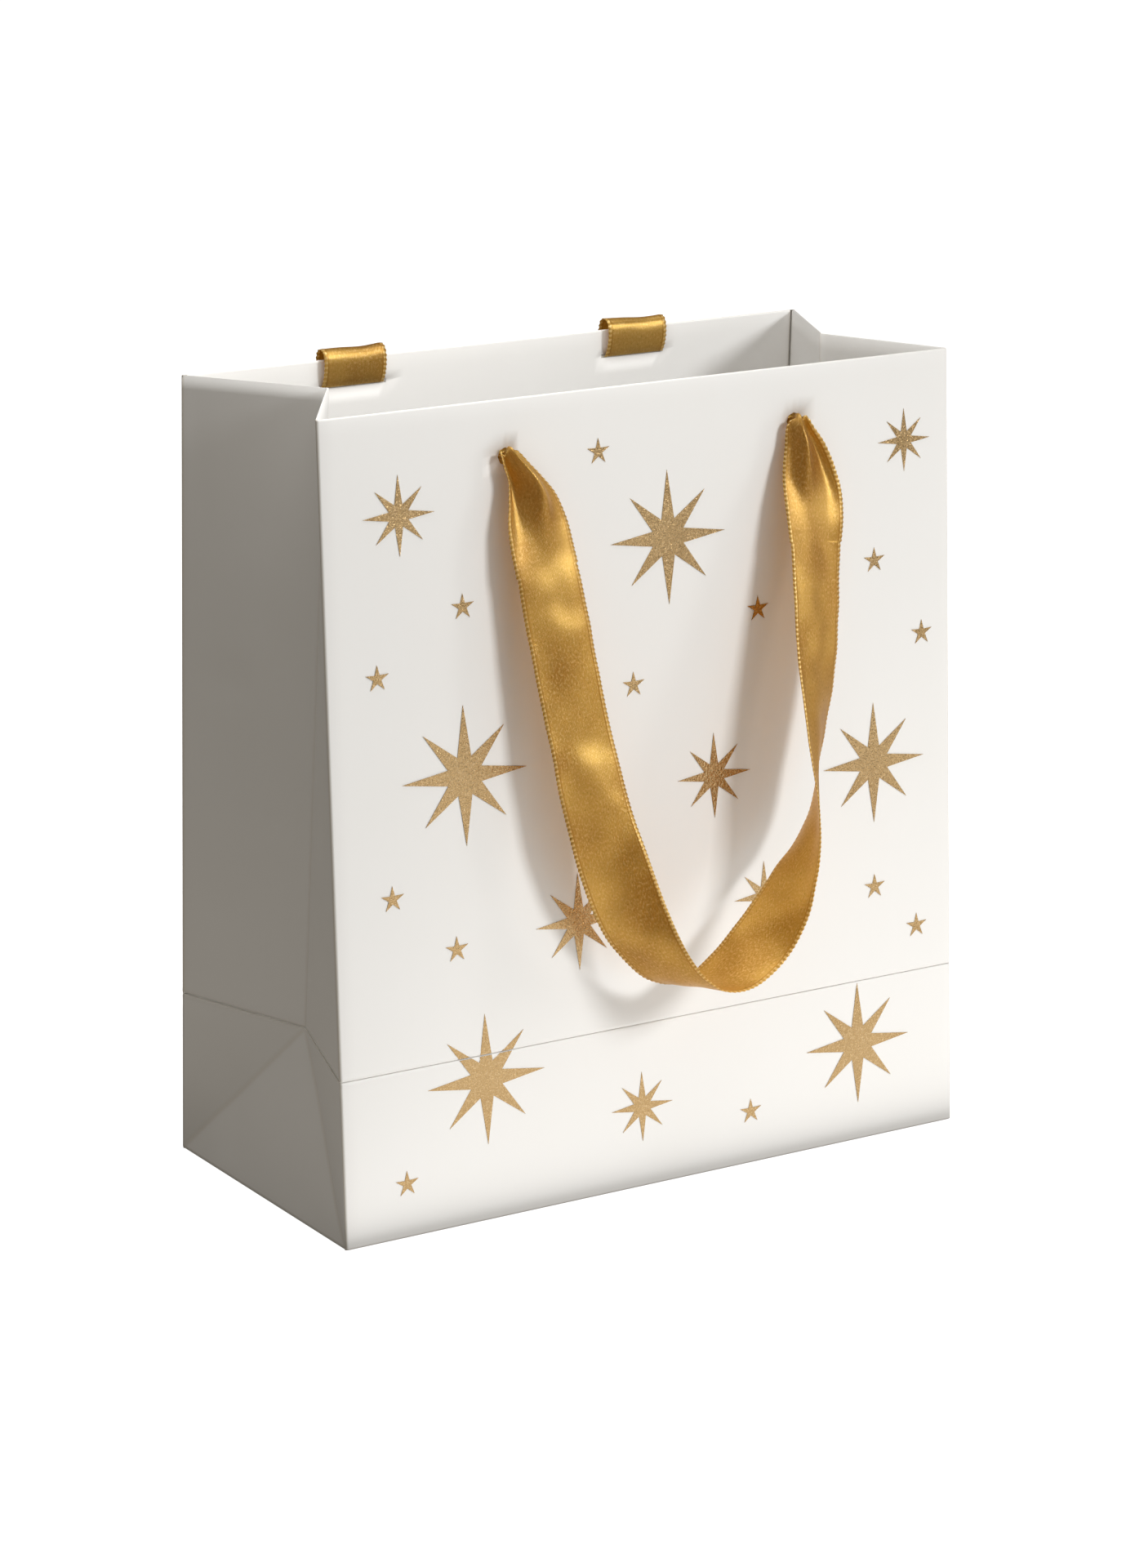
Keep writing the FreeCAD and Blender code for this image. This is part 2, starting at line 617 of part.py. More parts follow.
def make_stars(side):
    """Big and small stars on one wall, cut where the horizontal crease crosses them."""
    thickness = size("foil_thickness")
    spread = size("bag_width") / LAYOUT_WIDTH
    rise = size("bag_height") / LAYOUT_HEIGHT
    waist = size("star_waist")
    diagonal = size("star_diagonal")
    big = [star_face(x * spread, z * rise, 8, r, waist, diagonal) for x, z, r in BIG_STARS]
    radius = size("small_star_radius")
    waist = size("small_star_waist")
    small = [star_face(x * spread, z * rise, 5, radius, waist) for x, z in SMALL_STARS]
    reach = size("bag_width")
    zones = {
        "lower": Part.makeBox(2 * reach, CREASE_ALONG - RELIEF, thickness, vec(-reach, 0, 0)),
        "upper": Part.makeBox(2 * reach, MOUTH_ALONG, thickness, vec(-reach, CREASE_ALONG + RELIEF, 0)),
    }
    for zone, region in zones.items():
        for word, faces in (("big", big), ("small", small)):
            solids = []
            for face in faces:
                solids += face.extrude(vec(0, 0, thickness)).common(region).Solids
            label = "%s_%s_%s_stars" % (side, zone, word)
            group = doc.addObject("Part::Feature", label)
            group.Shape = Part.makeCompound(solids)
            group.Placement = wall_frame(side)
            keep(group, label)


def main():
    for side in ("front", "back"):
        make_walls(side)
    make_seam()
    for side in ("left", "right"):
        make_lower_gusset(side)
        for end in (-1, 1):
            make_gusset_half(side, end)
    make_bottom()
    make_front_ribbon()
    make_rear_ribbon()
    for side in ("front", "back"):
        make_stars(side)
    doc.recompute()
    for item in doc.Objects:
        if "Invalid" in item.State or "Error" in item.State:
            raise RuntimeError("%s did not compute: %s" % (item.Name, item.State))
    for node in nodes:
        if node.Shape.isNull() or not node.Shape.isValid():
            raise RuntimeError("%s has no valid shape" % node.Label)
    os.makedirs("parts", exist_ok=True)
    for node in nodes:
        node.Shape.exportStep("parts/%s.step" % node.Label)


main()
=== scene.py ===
import json
import math

import bmesh
import bpy
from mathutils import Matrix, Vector, noise
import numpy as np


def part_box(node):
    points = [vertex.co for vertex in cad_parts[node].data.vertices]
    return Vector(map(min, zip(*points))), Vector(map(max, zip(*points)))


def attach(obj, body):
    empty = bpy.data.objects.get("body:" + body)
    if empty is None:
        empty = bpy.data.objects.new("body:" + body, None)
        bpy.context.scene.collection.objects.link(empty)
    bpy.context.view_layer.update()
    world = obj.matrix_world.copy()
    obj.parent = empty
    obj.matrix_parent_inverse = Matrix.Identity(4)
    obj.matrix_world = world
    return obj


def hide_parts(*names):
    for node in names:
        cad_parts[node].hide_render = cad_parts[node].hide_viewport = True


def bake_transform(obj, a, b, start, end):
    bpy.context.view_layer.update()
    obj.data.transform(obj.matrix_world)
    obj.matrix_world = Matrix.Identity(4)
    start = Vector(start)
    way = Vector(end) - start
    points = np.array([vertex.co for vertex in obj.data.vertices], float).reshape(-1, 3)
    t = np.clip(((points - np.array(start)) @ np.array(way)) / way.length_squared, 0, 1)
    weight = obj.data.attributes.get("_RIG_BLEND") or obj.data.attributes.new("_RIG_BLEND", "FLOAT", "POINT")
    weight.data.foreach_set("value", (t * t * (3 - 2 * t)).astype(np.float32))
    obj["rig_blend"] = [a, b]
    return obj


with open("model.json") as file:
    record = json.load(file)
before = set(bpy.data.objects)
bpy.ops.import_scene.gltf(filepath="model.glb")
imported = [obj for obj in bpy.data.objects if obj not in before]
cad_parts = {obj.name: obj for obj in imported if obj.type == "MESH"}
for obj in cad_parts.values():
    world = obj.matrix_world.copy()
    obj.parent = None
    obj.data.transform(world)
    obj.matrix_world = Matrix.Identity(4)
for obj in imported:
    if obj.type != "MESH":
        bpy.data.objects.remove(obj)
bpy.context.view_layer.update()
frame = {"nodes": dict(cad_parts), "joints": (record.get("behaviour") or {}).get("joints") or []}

bl_info = {
    "name": "Star Gift Bag",
    "version": (1, 0, 0),
    "blender": (4, 5, 0),
    "location": "View3D > Sidebar > Gift Bag",
    "description": "A paper gift bag with foil stars and satin ribbon handles",
    "category": "Add Mesh",
}

# ---- the frame's own measures, in metres ----

# thickness of the bag's paper
PAPER = 0.0003
LOWER_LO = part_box("front_lower_wall")[0]
PANEL_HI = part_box("front_panel")[1]
HALF_WIDTH = PANEL_HI.x
HALF_DEPTH = -LOWER_LO.y
MOUTH_HEIGHT = PANEL_HI.z
MOUTH_HALF = PAPER - PANEL_HI.y
LEAN = math.atan((HALF_DEPTH - MOUTH_HALF) / MOUTH_HEIGHT)
MOUTH_ALONG = MOUTH_HEIGHT / math.cos(LEAN)
PIVOTS = {joint["name"]: Vector(joint["pos_m"]) for joint in frame["joints"]}
CREASE_HEIGHT = PIVOTS["mouth_fold"].z
CREASE_ALONG = CREASE_HEIGHT / math.cos(LEAN)
HEM_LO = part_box("back_hem")[0]
HEM_DEPTH = MOUTH_HEIGHT - HEM_LO.z
# the hem lies this far behind the wall's face, and stops this short of the side edges
HEM_SINK = 0.0012
HEM_SIDE_GAP = 0.0018
KNOT_LO, KNOT_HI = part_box("front_ribbon_knots")
KNOT_RADIUS = 0.006
RIBBON_WIDTH = 0.024
# one bead of the stitches along the ribbon's edges
STITCH_PITCH = 0.0016
HANDLE_SHIFT = (KNOT_LO.x + KNOT_HI.x) / 2
HANDLE_HALF = (KNOT_HI.x - KNOT_LO.x) / 2 - KNOT_RADIUS
# the holes and the slits lie this far below the mouth's edge
HOLE_DROP = 0.019
SLIT_DROP = 0.0102
# the rear handle hangs this far from the middle, as seen from behind
REAR_SHIFT = 0.0045 - HANDLE_SHIFT
SLIT_OPENING = 0.0014
# a slit is longer than the ribbon is wide, by this at each end
SLIT_CLEARANCE = 0.0008
HOLE_RADIUS = 0.003


def mm(value):
    return value * 0.001


def wall_point(side, across, off, along):
    """A point on the front or back wall, given as seen from outside that wall."""
    y = -HALF_DEPTH + along * math.sin(LEAN) - off * math.cos(LEAN)
    z = along * math.cos(LEAN) + off * math.sin(LEAN)
    turn = 1 if side == "front" else -1
    return Vector((turn * across, turn * y, z))


def wall_depth(height):
    """Distance of a wall's outer face from the middle at a height."""
    return HALF_DEPTH - (HALF_DEPTH - MOUTH_HALF) * height / MOUTH_HEIGHT


def soft_noise(x, y, z):
    return noise.noise(Vector((x, y, z)))


def ease(value):
    """A smooth step from 0 to 1."""
    value = min(max(value, 0.0), 1.0)
    return value * value * (3 - 2 * value)


# ---- shader helpers ----


class Value:
    """A number on its way through a finish; expressions on it add its Math nodes."""

    def __init__(self, finish, socket):
        self.finish = finish
        self.socket = socket

    def calc(self, operation, *terms):
        node = self.finish.tree.nodes.new("ShaderNodeMath")
        node.operation = operation
        for index, term in enumerate(terms):
            self.finish.feed(node.inputs[index], term)
        return Value(self.finish, node.outputs[0])

    def __add__(self, other):
        return self.calc("ADD", self, other)

    def __radd__(self, other):
        return self.calc("ADD", other, self)

    def __sub__(self, other):
        return self.calc("SUBTRACT", self, other)

    def __rsub__(self, other):
        return self.calc("SUBTRACT", other, self)

    def __mul__(self, other):
        return self.calc("MULTIPLY", self, other)

    def __rmul__(self, other):
        return self.calc("MULTIPLY", other, self)

    def sine(self):
        return self.calc("SINE", self)

    def size(self):
        return self.calc("ABSOLUTE", self)

    def over(self, limit):
        """1 where the value is above a limit, else 0."""
        return self.calc("GREATER_THAN", self, limit)


class Finish:
    """The node tree of one of the bag's finishes."""

    def __init__(self, name):
        self.material = bpy.data.materials.new(name)
        self.material.use_nodes = True
        self.tree = self.material.node_tree
        self.tree.nodes.clear()

    def feed(self, socket, value):
        if isinstance(value, Value):
            self.tree.links.new(value.socket, socket)
        else:
            socket.default_value = value

    def node(self, kind, settings=None, inputs=None, output=0):
        """Add a node: its settings first, then the values or links of its sockets."""
        node = self.tree.nodes.new(kind)
        for name, value in (settings or {}).items():
            if name == "stops":
                ramp = node.color_ramp
                ramp.elements[0].position, ramp.elements[0].color = value[0]
                ramp.elements[1].position, ramp.elements[1].color = value[-1]
                for position, colour in value[1:-1]:
                    ramp.elements.new(position).color = colour
            else:
                setattr(node, name, value)
        for name, value in (inputs or {}).items():
            self.feed(node.inputs[name], value)
        return Value(self, node.outputs[output]) if node.outputs else None

    def object_place(self):
        return self.node("ShaderNodeTexCoord", output="Object")

    def cloth_place(self):
        return self.node("ShaderNodeUVMap", {"uv_map": "cloth"})

    def part(self, vector, axis):
        return self.node("ShaderNodeSeparateXYZ", inputs={"Vector": vector}, output=axis)

    def stretched(self, vector, scale):
        return self.node("ShaderNodeMapping", inputs={"Vector": vector, "Scale": scale})

    def grain(self, vector, scale, detail=3.0, roughness=0.5):
        return self.node(
            "ShaderNodeTexNoise",
            inputs={"Vector": vector, "Scale": scale, "Detail": detail, "Roughness": roughness},
        )

    def ramp(self, value, stops):
        return self.node("ShaderNodeValToRGB", {"stops": stops}, {"Fac": value})

    def blend(self, factor, first, second):
        """Mix two colours."""
        node = self.tree.nodes.new("ShaderNodeMix")
        node.data_type = "RGBA"
        self.feed(node.inputs["Factor"], factor)
        colours = [socket for socket in node.inputs if socket.type == "RGBA"]
        self.feed(colours[0], first)
        self.feed(colours[1], second)
        result = next(socket for socket in node.outputs if socket.type == "RGBA")
        return Value(self, result)

    def bump(self, height, strength, distance):
        inputs = {"Height": height, "Strength": strength, "Distance": distance}
        return self.node("ShaderNodeBump", inputs=inputs)

    def close(self, inputs):
        """Finish the tree with a Principled shader."""
        shader = self.node("ShaderNodeBsdfPrincipled", inputs=inputs)
        self.node("ShaderNodeOutputMaterial", inputs={"Surface": shader})
        return self.material


def finish_paper(colours):
    """White laminated paper with a fine tooth, darkened with painted shade where it is folded."""
    paper = Finish("white_paper")
    place = paper.object_place()
    tooth = paper.grain(place, 1500.0, 4.0, 0.6)
    cloud = paper.grain(place, 28.0, 3.0)
    streak = paper.grain(paper.stretched(place, (260.0, 260.0, 9.0)), 1.0, 2.0)
    # the fold weight says how strongly painted shade darkens each spot
    fold = paper.node("ShaderNodeAttribute", {"attribute_name": "fold"}, output="Fac")
    white = tuple(colours.paper) + (1.0,)
    warm = (white[0] * 0.96, white[1] * 0.95, white[2] * 0.925, 1.0)
    # painted shade: a darker brown for folds, creases and rolled edges, where shade falls
    fold_shade_colour = (white[0] * 0.70, white[1] * 0.62, white[2] * 0.50, 1.0)
    base = paper.blend(cloud * 0.35, white, warm)
    base = paper.blend(streak * 0.12, base, warm)
    base = paper.blend(fold * 0.8, base, fold_shade_colour)
    height = tooth * 0.5 + streak * 0.35
    return paper.close({
        "Base Color": base,
        "Roughness": 0.42 + tooth * 0.16,
        "Normal": paper.bump(height, 0.10, 0.0002),
        "Coat Weight": 0.12,
        "Coat Roughness": 0.35,
        "IOR": 1.45,
    })


def finish_card(colours):
    """Grey-white recycled card for the base board and the hem's stiffener."""
    card = Finish("grey_card")
    place = card.object_place()
    fibre = card.grain(card.stretched(place, (600.0, 1500.0, 900.0)), 1.0, 4.0, 0.65)
    speck = card.grain(place, 420.0, 2.0)
    base = tuple(colours.card) + (1.0,)
    dark = (base[0] * 0.68, base[1] * 0.64, base[2] * 0.58, 1.0)
    tone = card.blend(fibre * 0.45, base, dark)
    tone = card.blend(speck.over(0.66) * 0.5, tone, dark)
    return card.close({
        "Base Color": tone,
        "Roughness": 0.78 + fibre * 0.14,
        "Normal": card.bump(fibre, 0.25, 0.0003),
    })


def finish_satin(colours):
    """Gold satin ribbon: a fine twill, a brighter bead of stitches along each edge."""
    satin = Finish("gold_satin")
    cloth = satin.cloth_place()
    across = satin.part(cloth, "X")
    along = satin.part(cloth, "Y")
    twill = ((across + along * 0.62) * 9500.0).sine()
    cross = ((across - along * 1.3) * 7200.0).sine()
    weft = satin.grain(satin.stretched(cloth, (1500.0, 950.0, 1.0)), 1.0, 3.0, 0.6)
    cloud = satin.grain(cloth, 34.0, 2.0)
    edge = (across - RIBBON_WIDTH / 2).size() * (2.0 / RIBBON_WIDTH)
    selvage = edge.over(0.915)
    hem_line = edge.over(0.875) - selvage
    stitch = (along * (2 * math.pi / STITCH_PITCH)).sine().over(0.1)
    base = tuple(colours.ribbon) + (1.0,)
    light = (min(base[0] * 1.45, 1.0), min(base[1] * 1.75, 1.0), min(base[2] * 3.2, 1.0), 1.0)
    deep = (base[0] * 0.62, base[1] * 0.50, base[2] * 0.35, 1.0)
    # painted shade: random darker patches standing in for the shade of the satin's soft folds
    shade_patch = satin.ramp(cloud, [(0.42, (0, 0, 0, 1)), (0.62, (0.8, 0.8, 0.8, 1))])
    tone = satin.blend(shade_patch, base, deep)
    fray = satin.ramp(weft, [(0.48, (0, 0, 0, 1)), (0.74, (0.75, 0.75, 0.75, 1))])
    tone = satin.blend(fray, tone, light)
    tone = satin.blend(hem_line * 0.75, tone, deep)
    tone = satin.blend(selvage * stitch, tone, light)
    height = twill * 0.2 + cross * 0.1 + weft * 0.8 - hem_line * 0.5
    cloth_shader = satin.node("ShaderNodeBsdfPrincipled", inputs={
        "Base Color": tone,
        "Metallic": 0.6 - selvage * 0.1,
        "Roughness": 0.22 + weft * 0.16 + selvage * 0.1,
        "Normal": satin.bump(height, 0.35, 0.0002),
        "Sheen Weight": 0.12,
        "Sheen Roughness": 0.4,
        "Sheen Tint": (1.0, 0.9, 0.7, 1.0),
        "Anisotropic": 0.35,
    })
    # light that comes through the ribbon warms the wall behind it
    through = satin.node("ShaderNodeBsdfTranslucent", inputs={"Color": (0.95, 0.62, 0.15, 1.0)})
    mixed = satin.node("ShaderNodeMixShader", inputs={"Fac": 0.34, 1: cloth_shader, 2: through})
    satin.node("ShaderNodeOutputMaterial", inputs={"Surface": mixed})
    return satin.material


def finish_foil(colours):
    """Hot-stamped gold foil with a hammered crackle."""
    foil = Finish("gold_foil")
    place = foil.object_place()
    pebble = foil.node(
        "ShaderNodeTexVoronoi", {"feature": "SMOOTH_F1"}, {"Vector": place, "Scale": 1350.0}
    )
    creases = foil.grain(place, 1500.0, 4.0, 0.7)
    cloud = foil.grain(place, 45.0, 2.0)
    base = tuple(colours.foil) + (1.0,)
    bronze = (base[0] * 0.62, base[1] * 0.54, base[2] * 0.45, 1.0)
    pale = (min(base[0] * 1.25, 1.0), min(base[1] * 1.3, 1.0), min(base[2] * 1.5, 1.0), 1.0)
    tone = foil.blend(cloud * 0.6, base, bronze)
    crackle = foil.ramp(creases, [(0.50, (0, 0, 0, 1)), (0.68, (1, 1, 1, 1))])
    tone = foil.blend(crackle, tone, pale)
    height = pebble * 1.0 + creases * 0.6
    return foil.close({
        "Base Color": tone,
        "Metallic": 1.0,
        "Roughness": 0.18 + creases * 0.18,
        "Normal": foil.bump(height, 0.5, 0.0003),
    })


FINISHES = {}


def finish(name):
    """One of the bag's finishes, made the first time that a piece asks for it."""
    makers = {
        "paper": finish_paper, "card": finish_card, "satin": finish_satin, "foil": finish_foil,
    }
    if name not in FINISHES:
        FINISHES[name] = makers[name](bpy.context.scene.gift_bag_colours)
    return FINISHES[name]


def dress_nodes(names, name):
    """Give CAD nodes one of the finishes through their material slots."""
    for node in names:
        data = frame["nodes"][node].data
        if not data.materials:
            data.materials.append(None)
        for slot in range(len(data.materials)):
            data.materials[slot] = finish(name)


# ---- mesh helpers ----


def grid(columns, rows):
    """A bmesh grid with every vertex's column and row, counted from its lower left."""
    bm = bmesh.new()
    bm.verts.layers.float.new("fold")
    bm.loops.layers.uv.new("cloth")
    bmesh.ops.create_grid(bm, x_segments=columns, y_segments=rows, size=0.5)
    places = {}
    for vert in bm.verts:
        places[vert] = (round((vert.co.x + 0.5) * columns), round((vert.co.y + 0.5) * rows))
    return bm, places


def set_cloth_map(bm, places, spots):
    """Write the flat place of every grid corner, in metres, to the UV map named cloth."""
    layer = bm.loops.layers.uv["cloth"]
    for face in bm.faces:
        for loop in face.loops:
            loop[layer].uv = spots(*places[loop.vert])


def make_piece(bm, name, material, thickness=0.0, offset=-1.0, flip=False):
    """Turn a bmesh into a smooth piece, with its thickness, finish and slot."""
    if flip:
        bmesh.ops.reverse_faces(bm, faces=bm.faces)
    for face in bm.faces:
        face.smooth = True
    mesh = bpy.data.meshes.new(name)
    bm.to_mesh(mesh)
    bm.free()
    mesh.materials.append(finish(material))
    piece = bpy.data.objects.new(name, mesh)
    bpy.context.scene.collection.objects.link(piece)
    if thickness:
        solidify = piece.modifiers.new("thickness", "SOLIDIFY")
        solidify.thickness = thickness
        solidify.offset = offset
        solidify.use_even_offset = False
        solidify.use_quality_normals = True
    return piece


def spaced(start, stop, step, fixed=()):
    """Stations from start to stop about a step apart, with the fixed ones among them."""
    count = max(1, round((stop - start) / step))
    stations = [start + (stop - start) * index / count for index in range(count + 1)]
    kept = [s for s in stations if all(abs(s - f) > step * 0.45 for f in fixed)]
    for end in (start, stop):
        if end not in kept and all(abs(end - f) > 1e-6 for f in fixed):
            kept.append(end)
    return sorted(kept + list(fixed))


# ---- walls ----

# radius of the folded side and bottom edges
EDGE_ROLL = mm(0.9)
ROLL_TURNS = (22.5, 45, 67.5, 90)
# the two walls stop this far from the horizontal crease, and their rows grow away from it
CREASE_GAP = mm(0.07)
CREASE_STEPS = (0, 0.2, 0.45, 0.8, 1.2, 1.6, 2.2, 3.0, 4.2)
# the spread of the plain rows and columns
CELL = mm(5)


def edge_columns(fixed=()):
    """Across-stations of a wall with its rolled side edges: (across, sunk)."""
    flat = HALF_WIDTH - EDGE_ROLL
    columns = [(s, 0.0) for s in spaced(-flat, flat, CELL, fixed)]
    for turn in ROLL_TURNS:
        reach = EDGE_ROLL * math.sin(math.radians(turn))
        sunk = EDGE_ROLL * (1 - math.cos(math.radians(turn)))
        columns.append((flat + reach, sunk))
        columns.insert(0, (-flat - reach, sunk))
    return columns


def ripple(across, along, seed):
    """The slight unevenness of a wall, never in front of its flat face."""
    fade = ease((HALF_WIDTH - abs(across)) / mm(15)) * ease((MOUTH_ALONG - along) / mm(12))
    fade *= ease(abs(along - CREASE_ALONG) / mm(10)) * ease(along / mm(10))
    wave = soft_noise(across * 14, along * 11, seed) * 0.7
    wave += soft_noise(across * 40, along * 33, seed) * 0.3
    return -mm(0.09) * fade * (0.5 + wave)


def crease_profile(gap):
    """Off the face near the horizontal crease, by distance from it: a groove and a ridge."""
    ridge = mm(0.12) * math.exp(-((gap - mm(1.1)) / mm(0.6)) ** 2)
    return ridge - mm(0.22) * math.exp(-(gap / mm(0.35)) ** 2)


def fold_shade(gap, width):
    """How strongly painted shade darkens the paper at a distance from a fold."""
    return math.exp(-(gap / width) ** 2)


def lay_wall(side, columns, rows, seed):
    """A grid laid on a wall; rows are (along, off) and the grid's painted fold shade is written."""
    bm, places = grid(len(columns) - 1, len(rows) - 1)
    shade_layer = bm.verts.layers.float["fold"]
    for vert in bm.verts:
        column, row = places[vert]
        across, sunk = columns[column]
        along, off, crease_shade = rows[row]
        if off == 0.0 or abs(along - CREASE_ALONG) < mm(6):
            off += ripple(across, along, seed)
        if off > -HEM_SINK / 2:
            vert.co = wall_point(side, across, off - sunk, along)
        else:
            vert.co = wall_point(side, across * (1 - HEM_SIDE_GAP / HALF_WIDTH), off, along)
        # painted shade along the rolled side edges, or the row's own painted crease shade
        side_gap = HALF_WIDTH - abs(across)
        vert[shade_layer] = max(crease_shade, 0.5 * fold_shade(side_gap, mm(0.5)))
    return bm, places


def cut_round_hole(bm, places, column, row, side, across, along, off):
    """Open a round hole at a grid vertex, and round its corners."""
    centre = next(vert for vert in bm.verts if places.get(vert) == (column, row))
    ring = {vert for face in centre.link_faces for vert in face.verts} - {centre}
    for vert in ring:
        right = places[vert][0] - column
        up = places[vert][1] - row
        reach = HOLE_RADIUS / math.hypot(right, up)
        way = -1 if off < 0 else 1
        vert.co = wall_point(side, across + right * reach, off, along + way * up * reach)
    del places[centre]
    bmesh.ops.delete(bm, geom=[centre], context="VERTS")


def make_upper_wall(side, seed):
    """The wall above the crease, over the mouth's edge and down inside as the hem."""
    front = side == "front"
    shift = HANDLE_SHIFT if front else REAR_SHIFT
    centres = [shift - HANDLE_HALF, shift + HANDLE_HALF]
    if front:
        steps = (-HOLE_RADIUS, 0, HOLE_RADIUS)
        level = MOUTH_ALONG - HOLE_DROP
        heights = [level - HOLE_RADIUS, level, level + HOLE_RADIUS]
    else:
        reach = RIBBON_WIDTH / 2 + SLIT_CLEARANCE
        steps = (-reach, reach)
        level = MOUTH_ALONG - SLIT_DROP
        heights = [level, level + SLIT_OPENING]
    columns = edge_columns([centre + step for centre in centres for step in steps])
    start = CREASE_ALONG + CREASE_GAP
    # painted shade along the horizontal crease and round the mouth's fold
    crease_shade = 0.12
    rows = []
    for gap in CREASE_STEPS:
        off = crease_profile(mm(gap))
        rows.append((start + mm(gap), off, crease_shade * fold_shade(mm(gap), mm(0.3))))
    radius = HEM_SINK / 2
    top = MOUTH_ALONG - radius
    upper = heights if front else []
    rows += [(along, 0.0, 0.0) for along in spaced(start + mm(7), top, CELL, upper)]
    for turn in range(20, 180, 20):
        angle = math.radians(turn)
        across_fold = -radius + radius * math.cos(angle)
        rows.append((top + radius * math.sin(angle), across_fold, crease_shade))
    inner = spaced(MOUTH_ALONG - HEM_DEPTH, top, CELL, heights)
    # the hem's face toward the inside of the bag
    rows += [(along, -HEM_SINK, 0.0) for along in reversed(inner)]
    # painted shade at the hem's lower edge
    rows[-1] = (rows[-1][0], rows[-1][1], 0.3)
    bm, places = lay_wall(side, columns, rows, seed)
    stations = [column[0] for column in columns]

    def nearest(values, wanted):
        return min(range(len(values)), key=lambda index: abs(values[index] - wanted))

    outer = [row[0] if row[1] > -mm(0.1) else math.inf for row in rows]
    hem = [row[0] if row[1] < -mm(1) else math.inf for row in rows]
    if front:
        for centre in centres:
            column = nearest(stations, centre)
            cut_round_hole(bm, places, column, nearest(outer, level), side, centre, level, 0.0)
            cut_round_hole(bm, places, column, nearest(hem, level), side, centre, level, -HEM_SINK)
    else:
        row = nearest(hem, level + SLIT_OPENING)
        for centre in centres:
            left = nearest(stations, centre - reach)
            right = nearest(stations, centre + reach)
            doomed = []
            for face in bm.faces:
                spots = [places[vert] for vert in face.verts]
                inside = all(left <= column <= right for column, _ in spots)
                if inside and all(row <= level_row <= row + 1 for _, level_row in spots):
                    doomed.append(face)
            bmesh.ops.delete(bm, geom=doomed, context="FACES")
    bm.normal_update()
    sample = next(face for face in bm.faces if face.calc_area() > mm(3) ** 2)
    outward = wall_point(side, 0, 1, 0) - wall_point(side, 0, 0, 0)
    flip = sample.normal.dot(outward) < 0
    piece = make_piece(bm, side + "_upper_wall", "paper", PAPER, flip=flip)
    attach(piece, side + "_panel")
    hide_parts(side + "_panel", side + "_hem")


def make_lower_wall(side, seed):
    """The wall below the crease, rolled under at the floor."""
    columns = edge_columns()
    floor = mm(0.02)
    lip = mm(2.5)
    # each row's last number is painted shade, darkest round the rolled bottom edge
    rows = [(floor, -lip, 0.0), (floor, -EDGE_ROLL, 0.2)]
    for turn in ROLL_TURNS:
        angle = math.radians(turn)
        rise = EDGE_ROLL * (1 - math.cos(angle))
        rows.append((floor + rise, -EDGE_ROLL + EDGE_ROLL * math.sin(angle), 0.25))
    rows[-1] = (rows[-1][0], 0.0, 0.1)
    stop = CREASE_ALONG - CREASE_GAP
    rows += [(along, 0.0, 0.0) for along in spaced(CELL, stop - mm(6), CELL)]
    # painted shade along the horizontal crease
    for gap in reversed(CREASE_STEPS):
        off = crease_profile(mm(gap)) - mm(0.06)
        rows.append((stop - mm(gap), off, 0.16 * fold_shade(mm(gap), mm(0.4))))
    bm, _ = lay_wall(side, columns, rows, seed)
    bm.normal_update()
    sample = max(bm.faces, key=lambda face: face.calc_area())
    outward = wall_point(side, 0, 1, 0) - wall_point(side, 0, 0, 0)
    flip = sample.normal.dot(outward) < 0
    piece = make_piece(bm, side + "_lower_wall_paper", "paper", PAPER, flip=flip)
    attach(piece, "root")
    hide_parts(side + "_lower_wall")


# ---- side folds ----

# about the width of half a side fold
FOLD_REACH = mm(60)
# both halves turn in by this round the middle crease, and stop this far from the middle
FOLD_BEND = mm(0.35)
FOLD_MEET = mm(0.03)
# the edge folded in at the mouth stands in from the wall and from the side edge by these
LIP_WALL_INSET = mm(0.9)
LIP_SIDE_INSET = mm(0.8)
FOOT_CUTS = 54


def fold_line(side, height):
    """The middle crease of a side fold at a height above the horizontal crease."""
    way = -1 if side == "left" else 1
    apex = abs(PIVOTS[side + "_front_fold"].x)
    corners = [abs(corner.x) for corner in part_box(side + "_gusset_front")]
    mouth = max(x for x in corners if x < HALF_WIDTH - mm(5))
    share = (height - CREASE_HEIGHT) / (MOUTH_HEIGHT - CREASE_HEIGHT)
    return Vector((way * (apex + (mouth - apex) * share), 0.0, height))


def dent(u, height, spots):
    """Soft dents and folds pressed into a side fold, each (u, height, width, tall, depth)."""
    total = 0.0
    for middle, level, wide, tall, depth in spots:
        away = ((u - middle) / wide) ** 2 + ((height - mm(level)) / mm(tall)) ** 2
        total += mm(depth) * math.exp(-away)
    return total


# each side fold's dents: how far across it, height, spread across, spread in height, depth
SIDE_DENTS = [
    (0.35, 175, 0.18, 7, -0.35), (0.7, 120, 0.25, 5, 0.3), (0.55, 215, 0.3, 16, 0.3),
    (0.3, 95, 0.2, 10, -0.3), (0.75, 190, 0.14, 20, -0.25),
]


